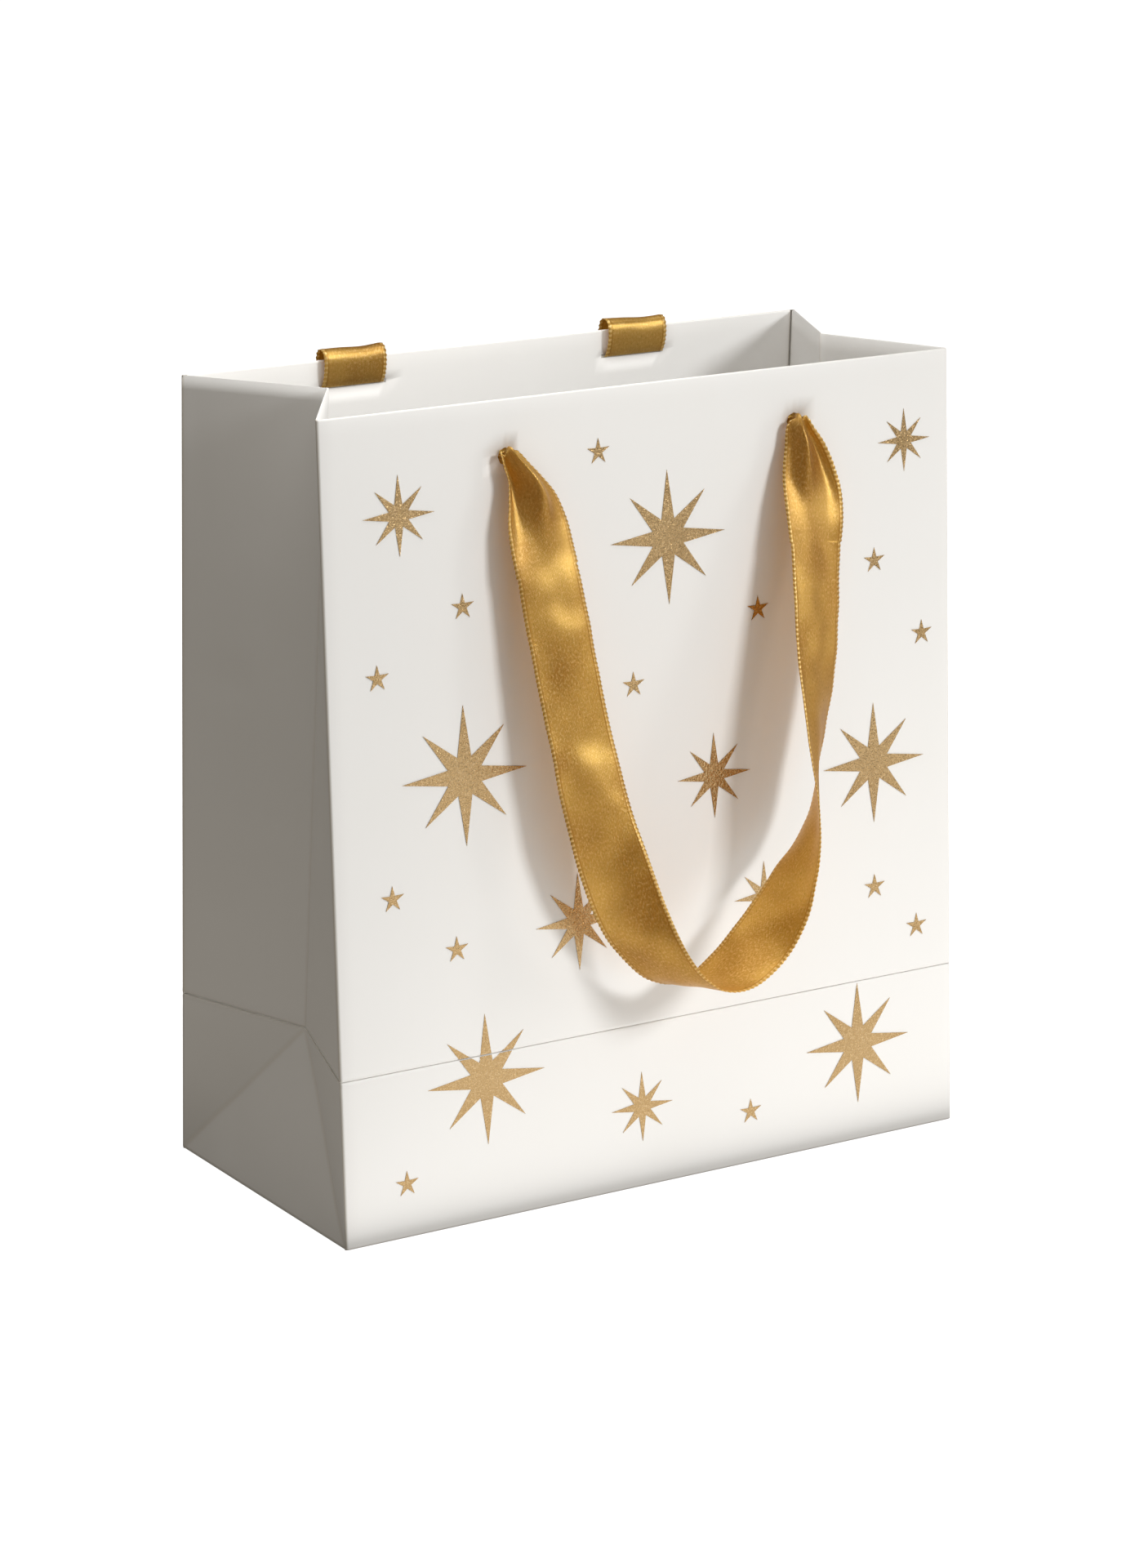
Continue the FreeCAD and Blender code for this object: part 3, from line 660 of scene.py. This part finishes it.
def make_side_fold(side, end):
    """Half of a side fold above the crease, with its edge folded in at the mouth.

    end is -1 for the front half and 1 for the back one.
    """
    word = "front" if end < 0 else "back"
    name = "%s_gusset_%s" % (side, word)
    way = 1 if side == "left" else -1
    width_steps = 22
    sink = mm(0.35)
    rows = []
    for gap in (0.12, 0.35, 0.8, 1.5, 2.6, 4.0):
        rows.append((CREASE_HEIGHT + mm(gap), -mm(0.4) * math.exp(-(mm(gap) / mm(0.5)) ** 2)))
    low = CREASE_HEIGHT + mm(7)
    rows += [(height, 0.0) for height in spaced(low, MOUTH_HEIGHT - sink, mm(4.5))]
    for turn in (30, 60, 90, 120, 150):
        angle = math.radians(turn)
        rise = sink / 2 * math.sin(angle)
        rows.append((MOUTH_HEIGHT - sink / 2 + rise, -sink / 2 * (1 - math.cos(angle))))
    for height in reversed(spaced(MOUTH_HEIGHT - HEM_DEPTH, MOUTH_HEIGHT - sink, mm(6))):
        rows.append((height, -sink - mm(0.3)))
    bm, places = grid(width_steps, len(rows) - 1)
    shade_layer = bm.verts.layers.float["fold"]
    for vert in bm.verts:
        column, row = places[vert]
        height, off = rows[row]
        u = column / width_steps
        # closer columns beside the two creases
        u = 0.5 - 0.5 * math.cos(math.pi * u)
        inner = off < -sink
        depth = wall_depth(height) - EDGE_ROLL - (LIP_WALL_INSET if inner else 0.0)
        width = HALF_WIDTH - (LIP_SIDE_INSET if inner else 0.0)
        outer = Vector((-way * width, end * depth, height))
        crease = fold_line(side, height)
        # both halves' sheets meet at the middle crease, however deep they lie
        tilt = abs(crease.x - outer.x) / (crease - outer).length
        crease.y = end * (FOLD_MEET - tilt * (FOLD_BEND - min(off, 0.0)))
        along = (crease - outer).normalized()
        outward = Vector((-way * abs(along.y), -end * abs(along.x), 0.0)).normalized()
        fade = ease(u / 0.12) * ease((1 - u) / 0.12) * ease((MOUTH_HEIGHT - height) / mm(14))
        fade *= ease((height - CREASE_HEIGHT) / mm(12))
        wave = soft_noise(u * 1.7 + end * 3, height * 13, 7.3 * way) * 0.6
        wave += soft_noise(u * 4 + end * 3, height * 30, 3.1 * way) * 0.15
        push = fade * (mm(0.75) * wave + dent(u, height, SIDE_DENTS))
        # the last millimetre turns round the middle crease
        bend = -FOLD_BEND * math.exp(-((1 - u) / 0.012) ** 2)
        vert.co = outer.lerp(crease, u) + outward * (off + push + bend)
        # painted shade along the middle crease, the horizontal crease and the side edge
        vert[shade_layer] = max(
            0.3 * fold_shade((1 - u) * FOLD_REACH, mm(0.5)),
            0.5 * fold_shade(height - CREASE_HEIGHT, mm(0.5)),
            0.6 * fold_shade(u * FOLD_REACH, mm(0.8)),
        )
    bm.normal_update()
    below_hem = [face for face in bm.faces if face.calc_center_median().z < HEM_LO.z]
    sample = max(below_hem, key=lambda face: face.calc_area())
    flip = sample.normal.x * -way < 0
    piece = make_piece(bm, name + "_paper", "paper", PAPER, flip=flip)
    panel = word + "_panel"
    side_edge = Vector((-way * HALF_WIDTH, end * wall_depth(CREASE_HEIGHT), CREASE_HEIGHT))
    side_top = Vector((-way * HALF_WIDTH, end * MOUTH_HALF, MOUTH_HEIGHT))
    crease_low = fold_line(side, CREASE_HEIGHT)
    crease_way = fold_line(side, MOUTH_HEIGHT) - crease_low
    across = (side_top - side_edge).cross(crease_way).normalized()
    reach = across.dot(crease_low - side_edge)
    half = "%s_fold_%s" % (side, word)
    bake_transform(piece, panel, half, start=side_edge, end=side_edge + across * reach)
    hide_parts(name, name + "_hem")


def make_side_foot(side):
    """The three triangles of a side below the crease, as one creased sheet."""
    way = 1 if side == "left" else -1
    x = -way * HALF_WIDTH
    tuck = HALF_WIDTH - abs(PIVOTS[side + "_front_fold"].x)
    top = CREASE_HEIGHT - mm(0.12)
    apex = Vector((x + way * tuck, 0.0, top))
    foot = HALF_DEPTH - EDGE_ROLL
    knee = wall_depth(CREASE_HEIGHT) - EDGE_ROLL
    floor = mm(0.35)
    bm = bmesh.new()
    shade_layer = bm.verts.layers.float.new("fold")
    names = {
        "front_foot": (x, -foot, floor), "back_foot": (x, foot, floor),
        "front_knee": (x, -knee, top), "back_knee": (x, knee, top),
    }
    corners = {name: bm.verts.new(spot) for name, spot in names.items()}
    peak = bm.verts.new(apex)
    bm.faces.new((corners["front_foot"], peak, corners["back_foot"]))
    bm.faces.new((corners["front_foot"], corners["front_knee"], peak))
    bm.faces.new((corners["back_foot"], peak, corners["back_knee"]))
    bmesh.ops.recalc_face_normals(bm, faces=bm.faces)
    bmesh.ops.subdivide_edges(bm, edges=bm.edges, cuts=FOOT_CUTS, use_grid_fill=True)
    rim = {vert for edge in bm.edges if edge.is_boundary for vert in edge.verts}
    inner = [vert for vert in bm.verts if vert not in rim]
    creases = [(names["front_foot"], apex), (names["back_foot"], apex)]
    for vert in bm.verts:
        gaps = []
        for start, stop in creases:
            start = Vector(start)
            line = (stop - start).normalized()
            offset = vert.co - start
            gaps.append((offset - line * offset.dot(line)).length)
        # painted shade along the two slanting creases and the horizontal crease
        level_shade = fold_shade(CREASE_HEIGHT - vert.co.z, mm(0.8))
        vert[shade_layer] = max(0.3 * fold_shade(min(gaps), mm(0.9)), 0.5 * level_shade)
    bmesh.ops.smooth_vert(
        bm, verts=inner, factor=0.5, use_axis_x=True, use_axis_y=True, use_axis_z=True,
    )
    for vert in inner:
        gap = min(vert.co.z, CREASE_HEIGHT - vert.co.z, HALF_DEPTH - abs(vert.co.y))
        wave = soft_noise(vert.co.y * 30, vert.co.z * 30, 5.0 * way)
        away = ((vert.co.y - mm(30)) / mm(9)) ** 2 + ((vert.co.z - mm(18)) / mm(16)) ** 2
        sag = math.exp(-away)
        vert.co.x += way * ease(gap / mm(10)) * (mm(0.7) * wave + mm(0.8) * sag)
    border = [edge for edge in bm.edges if edge.is_boundary]
    under = [edge for edge in border if max(vert.co.z for vert in edge.verts) < mm(1)]
    made = bmesh.ops.extrude_edge_only(bm, edges=under)
    lip = [item for item in made["geom"] if isinstance(item, bmesh.types.BMVert)]
    bmesh.ops.translate(bm, verts=lip, vec=(way * mm(1.6), 0, -mm(0.3)))
    bm.normal_update()
    big = max(bm.faces, key=lambda face: face.calc_center_median().z)
    flip = big.normal.x * -way < 0
    piece = make_piece(bm, side + "_foot_paper", "paper", PAPER, flip=flip)
    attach(piece, "root")
    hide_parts(side + "_base_triangle", side + "_corner_front", side + "_corner_back")


# ---- ribbons ----

# The front ribbon from its left hole to its right one. Each row is the two edges of the
# ribbon in millimetres: right of the handle's middle, off the wall's face, below the
# mouth's edge; then how deep it is gathered.
FRONT_ROWS = [
    ((-59.3, -2.6, 19.0), (-55.7, -2.6, 19.0), 0.8),
    ((-59.4, 0.6, 18.6), (-55.6, 0.6, 18.6), 0.9),
    ((-61.2, 3.7, 17.4), (-55.7, 4.0, 16.3), 1.1),
    ((-60.7, 5.0, 21.9), (-51.0, 5.4, 21.3), 2.2),
    ((-59.6, 5.8, 26.8), (-46.0, 6.4, 26.8), 2.9),
    ((-60.2, 6.5, 33.2), (-41.6, 7.1, 32.6), 2.7),
    ((-61.4, 7.4, 41.5), (-38.7, 7.6, 40.2), 1.5),
    ((-61.1, 8.4, 50.0), (-37.4, 8.6, 47.8), 0.6),
    ((-60.1, 9.5, 58.6), (-36.3, 9.5, 55.5), 0.25),
    ((-57.8, 11.4, 76.2), (-34.0, 11.4, 73.0), 0.1),
    ((-55.4, 12.9, 93.6), (-31.6, 13.1, 90.2), 0.1),
    ((-52.8, 14.4, 110.8), (-29.1, 14.8, 107.1), 0.1),
    ((-49.9, 15.9, 129.4), (-26.3, 17.1, 125.1), 0.1),
    ((-45.9, 16.6, 148.9), (-22.9, 20.3, 143.2), 0.1),
    ((-40.1, 15.5, 167.0), (-19.4, 25.0, 159.3), 0.1),
    ((-32.1, 13.9, 183.5), (-16.8, 30.1, 174.6), 0.1),
    ((-23.3, 13.4, 194.2), (-14.3, 33.7, 185.1), 0.1),
    ((-14.6, 13.8, 201.5), (-10.7, 36.0, 193.1), 0.1),
    ((-5.5, 14.2, 204.8), (-6.0, 37.6, 199.3), 0.1),
    ((2.6, 14.6, 202.4), (1.5, 38.6, 203.6), 0.1),
    ((10.1, 15.4, 196.4), (13.4, 38.3, 202.8), 0.1),
    ((19.0, 15.6, 188.7), (25.7, 37.7, 195.5), 0.1),
    ((28.6, 14.7, 180.7), (34.3, 37.7, 184.4), 0.1),
    ((38.0, 13.7, 171.3), (39.0, 37.7, 170.7), 0.1),
    ((45.8, 13.5, 163.4), (41.4, 36.9, 160.0), 0.1),
    ((51.4, 13.7, 154.6), (42.4, 35.6, 150.6), 0.1),
    ((55.0, 13.9, 145.1), (42.6, 34.1, 141.5), 0.1),
    ((57.6, 14.1, 135.9), (42.2, 32.2, 132.0), 0.1),
    ((60.0, 13.9, 125.7), (42.3, 29.5, 121.2), 0.1),
    ((62.7, 13.2, 112.4), (42.9, 25.9, 107.8), 0.1),
    ((65.6, 12.2, 95.8), (43.9, 21.6, 91.8), 0.1),
    ((68.2, 11.1, 77.8), (45.2, 16.9, 74.4), 0.1),
    ((70.1, 9.7, 61.0), (46.5, 12.6, 58.3), 0.25),
    ((71.5, 8.2, 46.2), (47.6, 9.0, 43.9), 0.9),
    ((69.5, 7.2, 36.1), (49.2, 7.2, 34.0), 2.0),
    ((66.2, 5.8, 27.5), (51.3, 5.8, 26.2), 2.5),
    ((62.3, 4.6, 21.3), (52.4, 4.8, 20.3), 2.1),
    ((60.3, 3.4, 17.4), (54.6, 3.8, 17.2), 1.1),
    ((59.4, 0.6, 18.6), (55.6, 0.6, 18.6), 0.9),
    ((59.3, -2.6, 19.0), (55.7, -2.6, 19.0), 0.8),
]

# The rear ribbon from its first slit over the mouth's edge to the middle of its loop, as
# seen from behind. The other half mirrors these rows.
REAR_ROWS = [
    ((-69.5, -1.6, 9.6), (-45.5, -1.6, 9.6), 0.0),
    ((-69.5, -3.0, 6.8), (-45.5, -3.0, 6.8), 0.0),
    ((-69.5, -3.7, 2.0), (-45.5, -3.7, 2.0), 0.0),
    ((-69.5, -2.9, -2.0), (-45.5, -2.9, -2.0), 0.0),
    ((-69.5, -0.6, -3.3), (-45.5, -0.6, -3.3), 0.0),
    ((-69.5, 1.7, -2.2), (-45.5, 1.7, -2.2), 0.0),
    ((-69.5, 3.0, 2.5), (-45.5, 3.0, 2.5), 0.0),
    ((-69.3, 5.5, 12), (-45.3, 5.8, 11.7), 0.0),
    ((-68.8, 8, 28.3), (-45, 9, 27.3), 0.1),
    ((-67.4, 10.5, 52), (-43.5, 11.5, 50), 0.1),
    ((-65.5, 12, 75.3), (-42, 14, 71.3), 0.1),
    ((-59.5, 14, 110.3), (-38.5, 19, 103.3), 0.1),
    ((-46.5, 14, 142.3), (-29.5, 26, 134.3), 0.1),
    ((-27.5, 14, 165.3), (-18.5, 32, 159.3), 0.1),
    ((0, 14, 174.3), (0, 34, 170.3), 0.1),
]


# fine steps from one row to the next, from which the even stations are measured
CURVE_STEPS = 40


def curve_through(points, step):
    """A point on the smooth curve through the rows, at a row number with a fraction."""
    index = min(int(step), len(points) - 2)
    share = step - index
    before = points[max(index - 1, 0)]
    first = points[index]
    second = points[index + 1]
    after = points[min(index + 2, len(points) - 1)]
    square = share * share
    cube = square * share
    return 0.5 * (
        2 * first + (second - before) * share
        + (2 * before - 5 * first + 4 * second - after) * square
        + (3 * first - before - 3 * second + after) * cube
    )


def ribbon_stations(side, rows, shift, pitch):
    """Edge pairs, gathers and lengths along a ribbon, an even pitch apart."""
    firsts, seconds, gathers = [], [], []
    for first, second, gather in rows:
        edges = []
        for across, off, drop in (first, second):
            edges.append(wall_point(side, shift + mm(across), mm(off), MOUTH_ALONG - mm(drop)))
        firsts.append(edges[0])
        seconds.append(edges[1])
        gathers.append(gather)
    fine = []
    for count in range((len(rows) - 1) * CURVE_STEPS + 1):
        step = count / CURVE_STEPS
        first = curve_through(firsts, step)
        second = curve_through(seconds, step)
        gather = max(curve_through(gathers, step), 0.0)
        fine.append((first, second, gather))
    lengths = [0.0]
    for before, after in zip(fine, fine[1:]):
        gap = ((after[0] + after[1]) - (before[0] + before[1])).length / 2
        lengths.append(lengths[-1] + gap)
    total = lengths[-1]
    stations = []
    index = 0
    count = round(total / pitch)
    for station in range(count + 1):
        wanted = total * station / count
        while index < len(lengths) - 2 and lengths[index + 1] < wanted:
            index += 1
        share = (wanted - lengths[index]) / max(lengths[index + 1] - lengths[index], 1e-9)
        low, high = fine[index], fine[index + 1]
        stations.append((
            low[0].lerp(high[0], share), low[1].lerp(high[1], share),
            low[2] + (high[2] - low[2]) * share, wanted,
        ))
    return stations, total


# cells across the ribbon, and stations to one stitch along it
RIBBON_STEPS = 22
STITCH_STATIONS = 4
RIBBON_THICKNESS = mm(0.35)
# a bead stands out sideways and up by these, and the cloth beside it by the last one
BEAD_OUT = mm(0.28)
BEAD_RISE = mm(0.16)
BEAD_ROOT = mm(0.12)
# a ribbon's extra folds end, and its slack begins, this far from its ends
NECK_LENGTH = mm(60)
QUIET_LENGTH = mm(24)


def make_ribbon(name, side, rows, shift, seed, folds):
    """A satin ribbon: its twists, its gathers and the beaded stitches on both edges."""
    pitch = STITCH_PITCH / STITCH_STATIONS
    stations, total = ribbon_stations(side, rows, shift, pitch)
    count = len(stations) - 1
    frames = []
    for index, (first, second, gather, place) in enumerate(stations):
        ahead = stations[min(index + 1, count)]
        behind = stations[max(index - 1, 0)]
        run = (ahead[0] + ahead[1] - behind[0] - behind[1]).normalized()
        wide = second - first
        normal = run.cross(wide).normalized()
        middle = (first + second) / 2
        if gather < 0.25:
            wide = wide.normalized() * RIBBON_WIDTH * (1 - 0.15 * gather)
        frames.append((middle, wide, normal, gather, place))
    bm, places = grid(RIBBON_STEPS, count)
    for vert in bm.verts:
        column, row = places[vert]
        middle, wide, normal, gather, place = frames[row]
        u = column / RIBBON_STEPS
        spot = middle + wide * (u - 0.5)
        near_end = ease(1 - min(place, total - place) / NECK_LENGTH)
        wave = math.cos(2 * math.pi * (folds * u + 0.25)) * gather
        wave += 0.25 * gather * math.sin(2 * math.pi * (u * 3.1 + 0.3)) * near_end
        slack = soft_noise(u * 1.4, place * 34, seed) * 1.1
        slack += soft_noise(u * 2.6, place * 85, seed + 4) * 0.35
        crown = (u - 0.5) ** 2 * 4 - 0.4
        quiet = ease(min(place, total - place) / QUIET_LENGTH)
        off = mm(wave) + quiet * mm(1.3 * slack - 0.35 * crown)
        edge = min(u, 1 - u) * RIBBON_STEPS
        if edge < 0.5:
            beat = 0.5 + 0.5 * math.cos(2 * math.pi * row / STITCH_STATIONS)
            spot += wide.normalized() * (BEAD_OUT * beat * (1 if u > 0.5 else -1))
            off += BEAD_RISE * (beat - 0.4)
        elif edge < 1.5:
            off += BEAD_ROOT * (0.5 - 0.5 * math.cos(2 * math.pi * row / STITCH_STATIONS))
        vert.co = spot + normal * off

    def flat_place(column, row):
        return column / RIBBON_STEPS * RIBBON_WIDTH, frames[row][4]

    set_cloth_map(bm, places, flat_place)
    piece = make_piece(bm, name, "satin", RIBBON_THICKNESS, offset=0.0)
    return piece, total


def make_front_ribbon():
    piece, total = make_ribbon("front_ribbon", "front", FRONT_ROWS, HANDLE_SHIFT, 2.0, 1.25)
    start = wall_point("front", 0, 0, MOUTH_ALONG - mm(20.5))
    end = wall_point("front", 0, 0, MOUTH_ALONG - mm(34))
    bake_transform(piece, "front_panel", "front_handle", start=start, end=end)
    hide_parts("front_ribbon_left", "front_ribbon_loop", "front_ribbon_right")


def make_rear_ribbon():
    other = [((-b[0], b[1], b[2]), (-a[0], a[1], a[2]), g) for a, b, g in reversed(REAR_ROWS[:-1])]
    # the mirrored half keeps the same edge in front
    other = [(second, first, gather) for first, second, gather in other]
    piece, total = make_ribbon("rear_ribbon", "back", REAR_ROWS + other, REAR_SHIFT, 9.0, 1.0)
    tilt = math.radians(20)
    start = wall_point("back", 0, mm(3.0), MOUTH_ALONG)
    way = wall_point("back", 0, math.cos(tilt), -math.sin(tilt)) - wall_point("back", 0, 0, 0)
    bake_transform(piece, "back_panel", "rear_handle", start=start, end=start + way * mm(5))
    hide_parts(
        "rear_ribbon_arches", "rear_ribbon_left", "rear_ribbon_loop", "rear_ribbon_right"
    )


# a knot's middle lies this far behind the hem, and the knot is this flat
KNOT_STAND = mm(4.7)
KNOT_FLATNESS = 0.74


def make_knots():
    """A knot of gathered ribbon behind each hole, with a short tail."""
    joined = bmesh.new()
    layer = joined.loops.layers.uv.new("cloth")
    sink = HEM_SINK + PAPER + KNOT_STAND
    for centre in (HANDLE_SHIFT - HANDLE_HALF, HANDLE_SHIFT + HANDLE_HALF):
        middle = wall_point("front", centre, -sink, MOUTH_ALONG - HOLE_DROP)
        made = bmesh.ops.create_uvsphere(joined, u_segments=56, v_segments=36, radius=KNOT_RADIUS)
        for vert in made["verts"]:
            turn = math.atan2(vert.co.y, vert.co.x)
            tall = vert.co.z / KNOT_RADIUS
            wraps = abs(math.sin(2.5 * tall + 1.5 * turn + 0.4)) ** 0.6
            pleats = math.sin(17 * tall - 3 * turn) * 0.05
            swell = 0.84 + 0.14 * wraps + pleats * (1 - tall * tall)
            vert.co = middle + Vector((
                vert.co.x * swell, vert.co.y * swell * KNOT_FLATNESS, vert.co.z * swell,
            ))
        for way in (-1, 1):
            tail = bmesh.ops.create_grid(joined, x_segments=8, y_segments=20, size=0.5)
            for vert in tail["verts"]:
                u = vert.co.x
                down = 0.5 - vert.co.y
                spread = mm(4 + 9 * ease(down * 1.4))
                pleat = mm(1.3) * math.cos(2 * math.pi * 1.5 * u) * (1 - 0.7 * down)
                vert.co = middle + Vector((
                    way * mm(2 + 5 * down) + u * spread,
                    mm(1.5 + 2.5 * way * down) + pleat,
                    -mm(3 + 15 * down),
                ))
    for face in joined.faces:
        for loop in face.loops:
            loop[layer].uv = (loop.vert.co.x % RIBBON_WIDTH, loop.vert.co.z)
    piece = make_piece(joined, "front_knots", "satin")
    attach(piece, "front_panel")
    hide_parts("front_ribbon_knots")


# ---- the add-on ----


class GiftBagColours(bpy.types.PropertyGroup):
    """Colours that a user would change."""

    paper: bpy.props.FloatVectorProperty(
        name="Paper", description="Colour of the bag's paper", subtype="COLOR", size=3,
        min=0, max=1, default=(0.91, 0.90, 0.885),
    )
    ribbon: bpy.props.FloatVectorProperty(
        name="Ribbon", description="Colour of the satin ribbons", subtype="COLOR", size=3,
        min=0, max=1, default=(0.59, 0.37, 0.082),
    )
    foil: bpy.props.FloatVectorProperty(
        name="Foil", description="Colour of the stamped stars", subtype="COLOR", size=3,
        min=0, max=1, default=(0.54, 0.375, 0.185),
    )
    card: bpy.props.FloatVectorProperty(
        name="Card", description="Colour of the base board and the stiffening card",
        subtype="COLOR", size=3, min=0, max=1, default=(0.62, 0.59, 0.53),
    )


class GiftBagStudio(bpy.types.PropertyGroup):
    """Camera and light that a user would change."""

    azimuth: bpy.props.FloatProperty(
        name="Azimuth", description="How far the camera stands round to the left",
        subtype="ANGLE", default=math.radians(31.79),
    )
    elevation: bpy.props.FloatProperty(
        name="Elevation", description="How far the camera looks down",
        subtype="ANGLE", default=math.radians(15.48),
    )
    distance: bpy.props.FloatProperty(
        name="Distance", description="From the camera to the bag's middle",
        subtype="DISTANCE", unit="LENGTH", default=1.629,
    )
    lens: bpy.props.FloatProperty(
        name="Lens", description="Focal length in millimetres", default=106.6, min=10,
    )


class MakeWalls(bpy.types.Operator):
    """Make the front and back walls with their hems"""

    bl_idname = "gift_bag.walls"
    bl_label = "Walls"

    def execute(self, context):
        for side, seed in (("front", 1.5), ("back", 6.5)):
            make_upper_wall(side, seed)
            make_lower_wall(side, seed)
        return {"FINISHED"}


class MakeSides(bpy.types.Operator):
    """Make the folded sides"""

    bl_idname = "gift_bag.sides"
    bl_label = "Side folds"

    def execute(self, context):
        for side in ("left", "right"):
            make_side_foot(side)
            for end in (-1, 1):
                make_side_fold(side, end)
        return {"FINISHED"}


class MakeRibbons(bpy.types.Operator):
    """Make both satin ribbons and the knots that hold the front one"""

    bl_idname = "gift_bag.ribbons"
    bl_label = "Ribbons"

    def execute(self, context):
        make_knots()
        make_front_ribbon()
        make_rear_ribbon()
        return {"FINISHED"}


class DressNodes(bpy.types.Operator):
    """Give the stars, cards, flaps and base board their finishes"""

    bl_idname = "gift_bag.dress"
    bl_label = "Foil, cards and bottom"

    def execute(self, context):
        stars = [name for name in frame["nodes"] if name.endswith("_stars")]
        dress_nodes(stars, "foil")
        dress_nodes(["front_card", "back_card", "base_board"], "card")
        flaps = [name for name in frame["nodes"] if name.startswith(("bottom_flap", "seam_"))]
        dress_nodes(flaps, "paper")
        return {"FINISHED"}


FLOOR_SIZE = 30
CAMERA_TARGET = (-0.001, 0, 0.1299)
# the bag's middle, which the main lights face
MIDDLE = (0, 0, 0.15)
# the soft lights: name, place, target, size, watts, colour
LIGHTS = [
    ("key", (1.20, -2.44, 1.36), MIDDLE, (0.62, 0.62), 41, (0.965, 0.985, 1.0)),
    ("strip", (1.75, -1.05, 0.30), MIDDLE, (0.22, 1.0), 4.5, (1.0, 0.98, 0.95)),
    ("top", (0.1, -0.1, 1.9), MIDDLE, (1.6, 1.6), 12, (1.0, 1.0, 1.0)),
    ("front_low", (0.35, -0.95, 0.03), (0, -0.08, 0.02), (0.5, 0.1), 0.4, (1.0, 1.0, 1.0)),
    (
        "mouth_fill", (-0.05, -0.04, 0.42), (-0.06, 0.08, 0.26),
        (0.22, 0.1), 0.22, (1.0, 0.985, 0.95),
    ),
    ("low_bounce", (0.20, -0.328, 0.002), (0.20, -0.328, 1), (0.7, 0.52), 1.1, (1.0, 0.98, 0.95)),
    ("left_bounce", (-0.27, 0, 0.002), (-0.27, 0, 1), (0.2, 0.3), 0.045, (1.0, 0.93, 0.84)),
]


def add_area_light(name, spot, target, size, power, colour):
    """A soft light that the camera doesn't see."""
    data = bpy.data.lights.new(name, "AREA")
    data.shape = "RECTANGLE"
    data.size, data.size_y = size
    data.energy = power
    data.color = colour
    light = bpy.data.objects.new(name, data)
    bpy.context.scene.collection.objects.link(light)
    light.location = spot
    light.rotation_euler = (Vector(target) - Vector(spot)).to_track_quat("-Z", "Y").to_euler()
    light.visible_camera = False


class MakeStage(bpy.types.Operator):
    """Make the floor, the soft studio light and the camera"""

    bl_idname = "gift_bag.stage"
    bl_label = "Stage"

    def execute(self, context):
        scene = context.scene
        studio = scene.gift_bag_studio
        scene.view_settings.view_transform = "Standard"
        bm = bmesh.new()
        bmesh.ops.create_grid(bm, x_segments=1, y_segments=1, size=FLOOR_SIZE)
        bmesh.ops.translate(bm, verts=bm.verts, vec=(0, 0, -mm(0.1)))
        mesh = bpy.data.meshes.new("floor")
        bm.to_mesh(mesh)
        bm.free()
        floor = bpy.data.objects.new("floor", mesh)
        scene.collection.objects.link(floor)
        pale = Finish("pale_floor")
        mesh.materials.append(pale.close({
            "Base Color": (0.9, 0.9, 0.9, 1.0),
            "Roughness": 0.9,
            "Emission Color": (1.0, 1.0, 1.0, 1.0),
            "Emission Strength": 0.9,
        }))
        # the floor doesn't throw its own light back onto the bag
        floor.visible_diffuse = False
        floor.visible_glossy = False

        world = bpy.data.worlds.new("studio")
        scene.world = world
        world.use_nodes = True
        background = world.node_tree.nodes["Background"]
        background.inputs["Color"].default_value = (1.0, 0.92, 0.80, 1.0)
        background.inputs["Strength"].default_value = 0.18
        for light in LIGHTS:
            add_area_light(*light)

        look = Vector((
            math.sin(studio.azimuth) * math.cos(studio.elevation),
            math.cos(studio.azimuth) * math.cos(studio.elevation),
            -math.sin(studio.elevation),
        ))
        data = bpy.data.cameras.new("camera")
        data.lens = studio.lens
        data.sensor_width = 36
        camera = bpy.data.objects.new("camera", data)
        scene.collection.objects.link(camera)
        camera.location = Vector(CAMERA_TARGET) - look * studio.distance
        camera.rotation_euler = look.to_track_quat("-Z", "Y").to_euler()
        scene.camera = camera
        return {"FINISHED"}


OPERATORS = (MakeWalls, MakeSides, MakeRibbons, DressNodes, MakeStage)


class GiftBagPanel(bpy.types.Panel):
    """Lists the bag's pieces"""

    bl_idname = "VIEW3D_PT_gift_bag"
    bl_label = "Gift Bag"
    bl_space_type = "VIEW_3D"
    bl_region_type = "UI"
    bl_category = "Gift Bag"

    def draw(self, context):
        scene = context.scene
        for name in ("paper", "ribbon", "foil", "card"):
            self.layout.prop(scene.gift_bag_colours, name)
        for name in ("azimuth", "elevation", "distance", "lens"):
            self.layout.prop(scene.gift_bag_studio, name)
        for operator in OPERATORS:
            self.layout.operator(operator.bl_idname)


CLASSES = (GiftBagColours, GiftBagStudio) + OPERATORS + (GiftBagPanel,)


def register():
    for cls in CLASSES:
        bpy.utils.register_class(cls)
    bpy.types.Scene.gift_bag_colours = bpy.props.PointerProperty(type=GiftBagColours)
    bpy.types.Scene.gift_bag_studio = bpy.props.PointerProperty(type=GiftBagStudio)


def unregister():
    del bpy.types.Scene.gift_bag_colours
    del bpy.types.Scene.gift_bag_studio
    for cls in reversed(CLASSES):
        bpy.utils.unregister_class(cls)


def main():
    register()
    bpy.ops.gift_bag.walls()
    bpy.ops.gift_bag.sides()
    bpy.ops.gift_bag.ribbons()
    bpy.ops.gift_bag.dress()
    bpy.ops.gift_bag.stage()


if __name__ == "__main__":
    main()
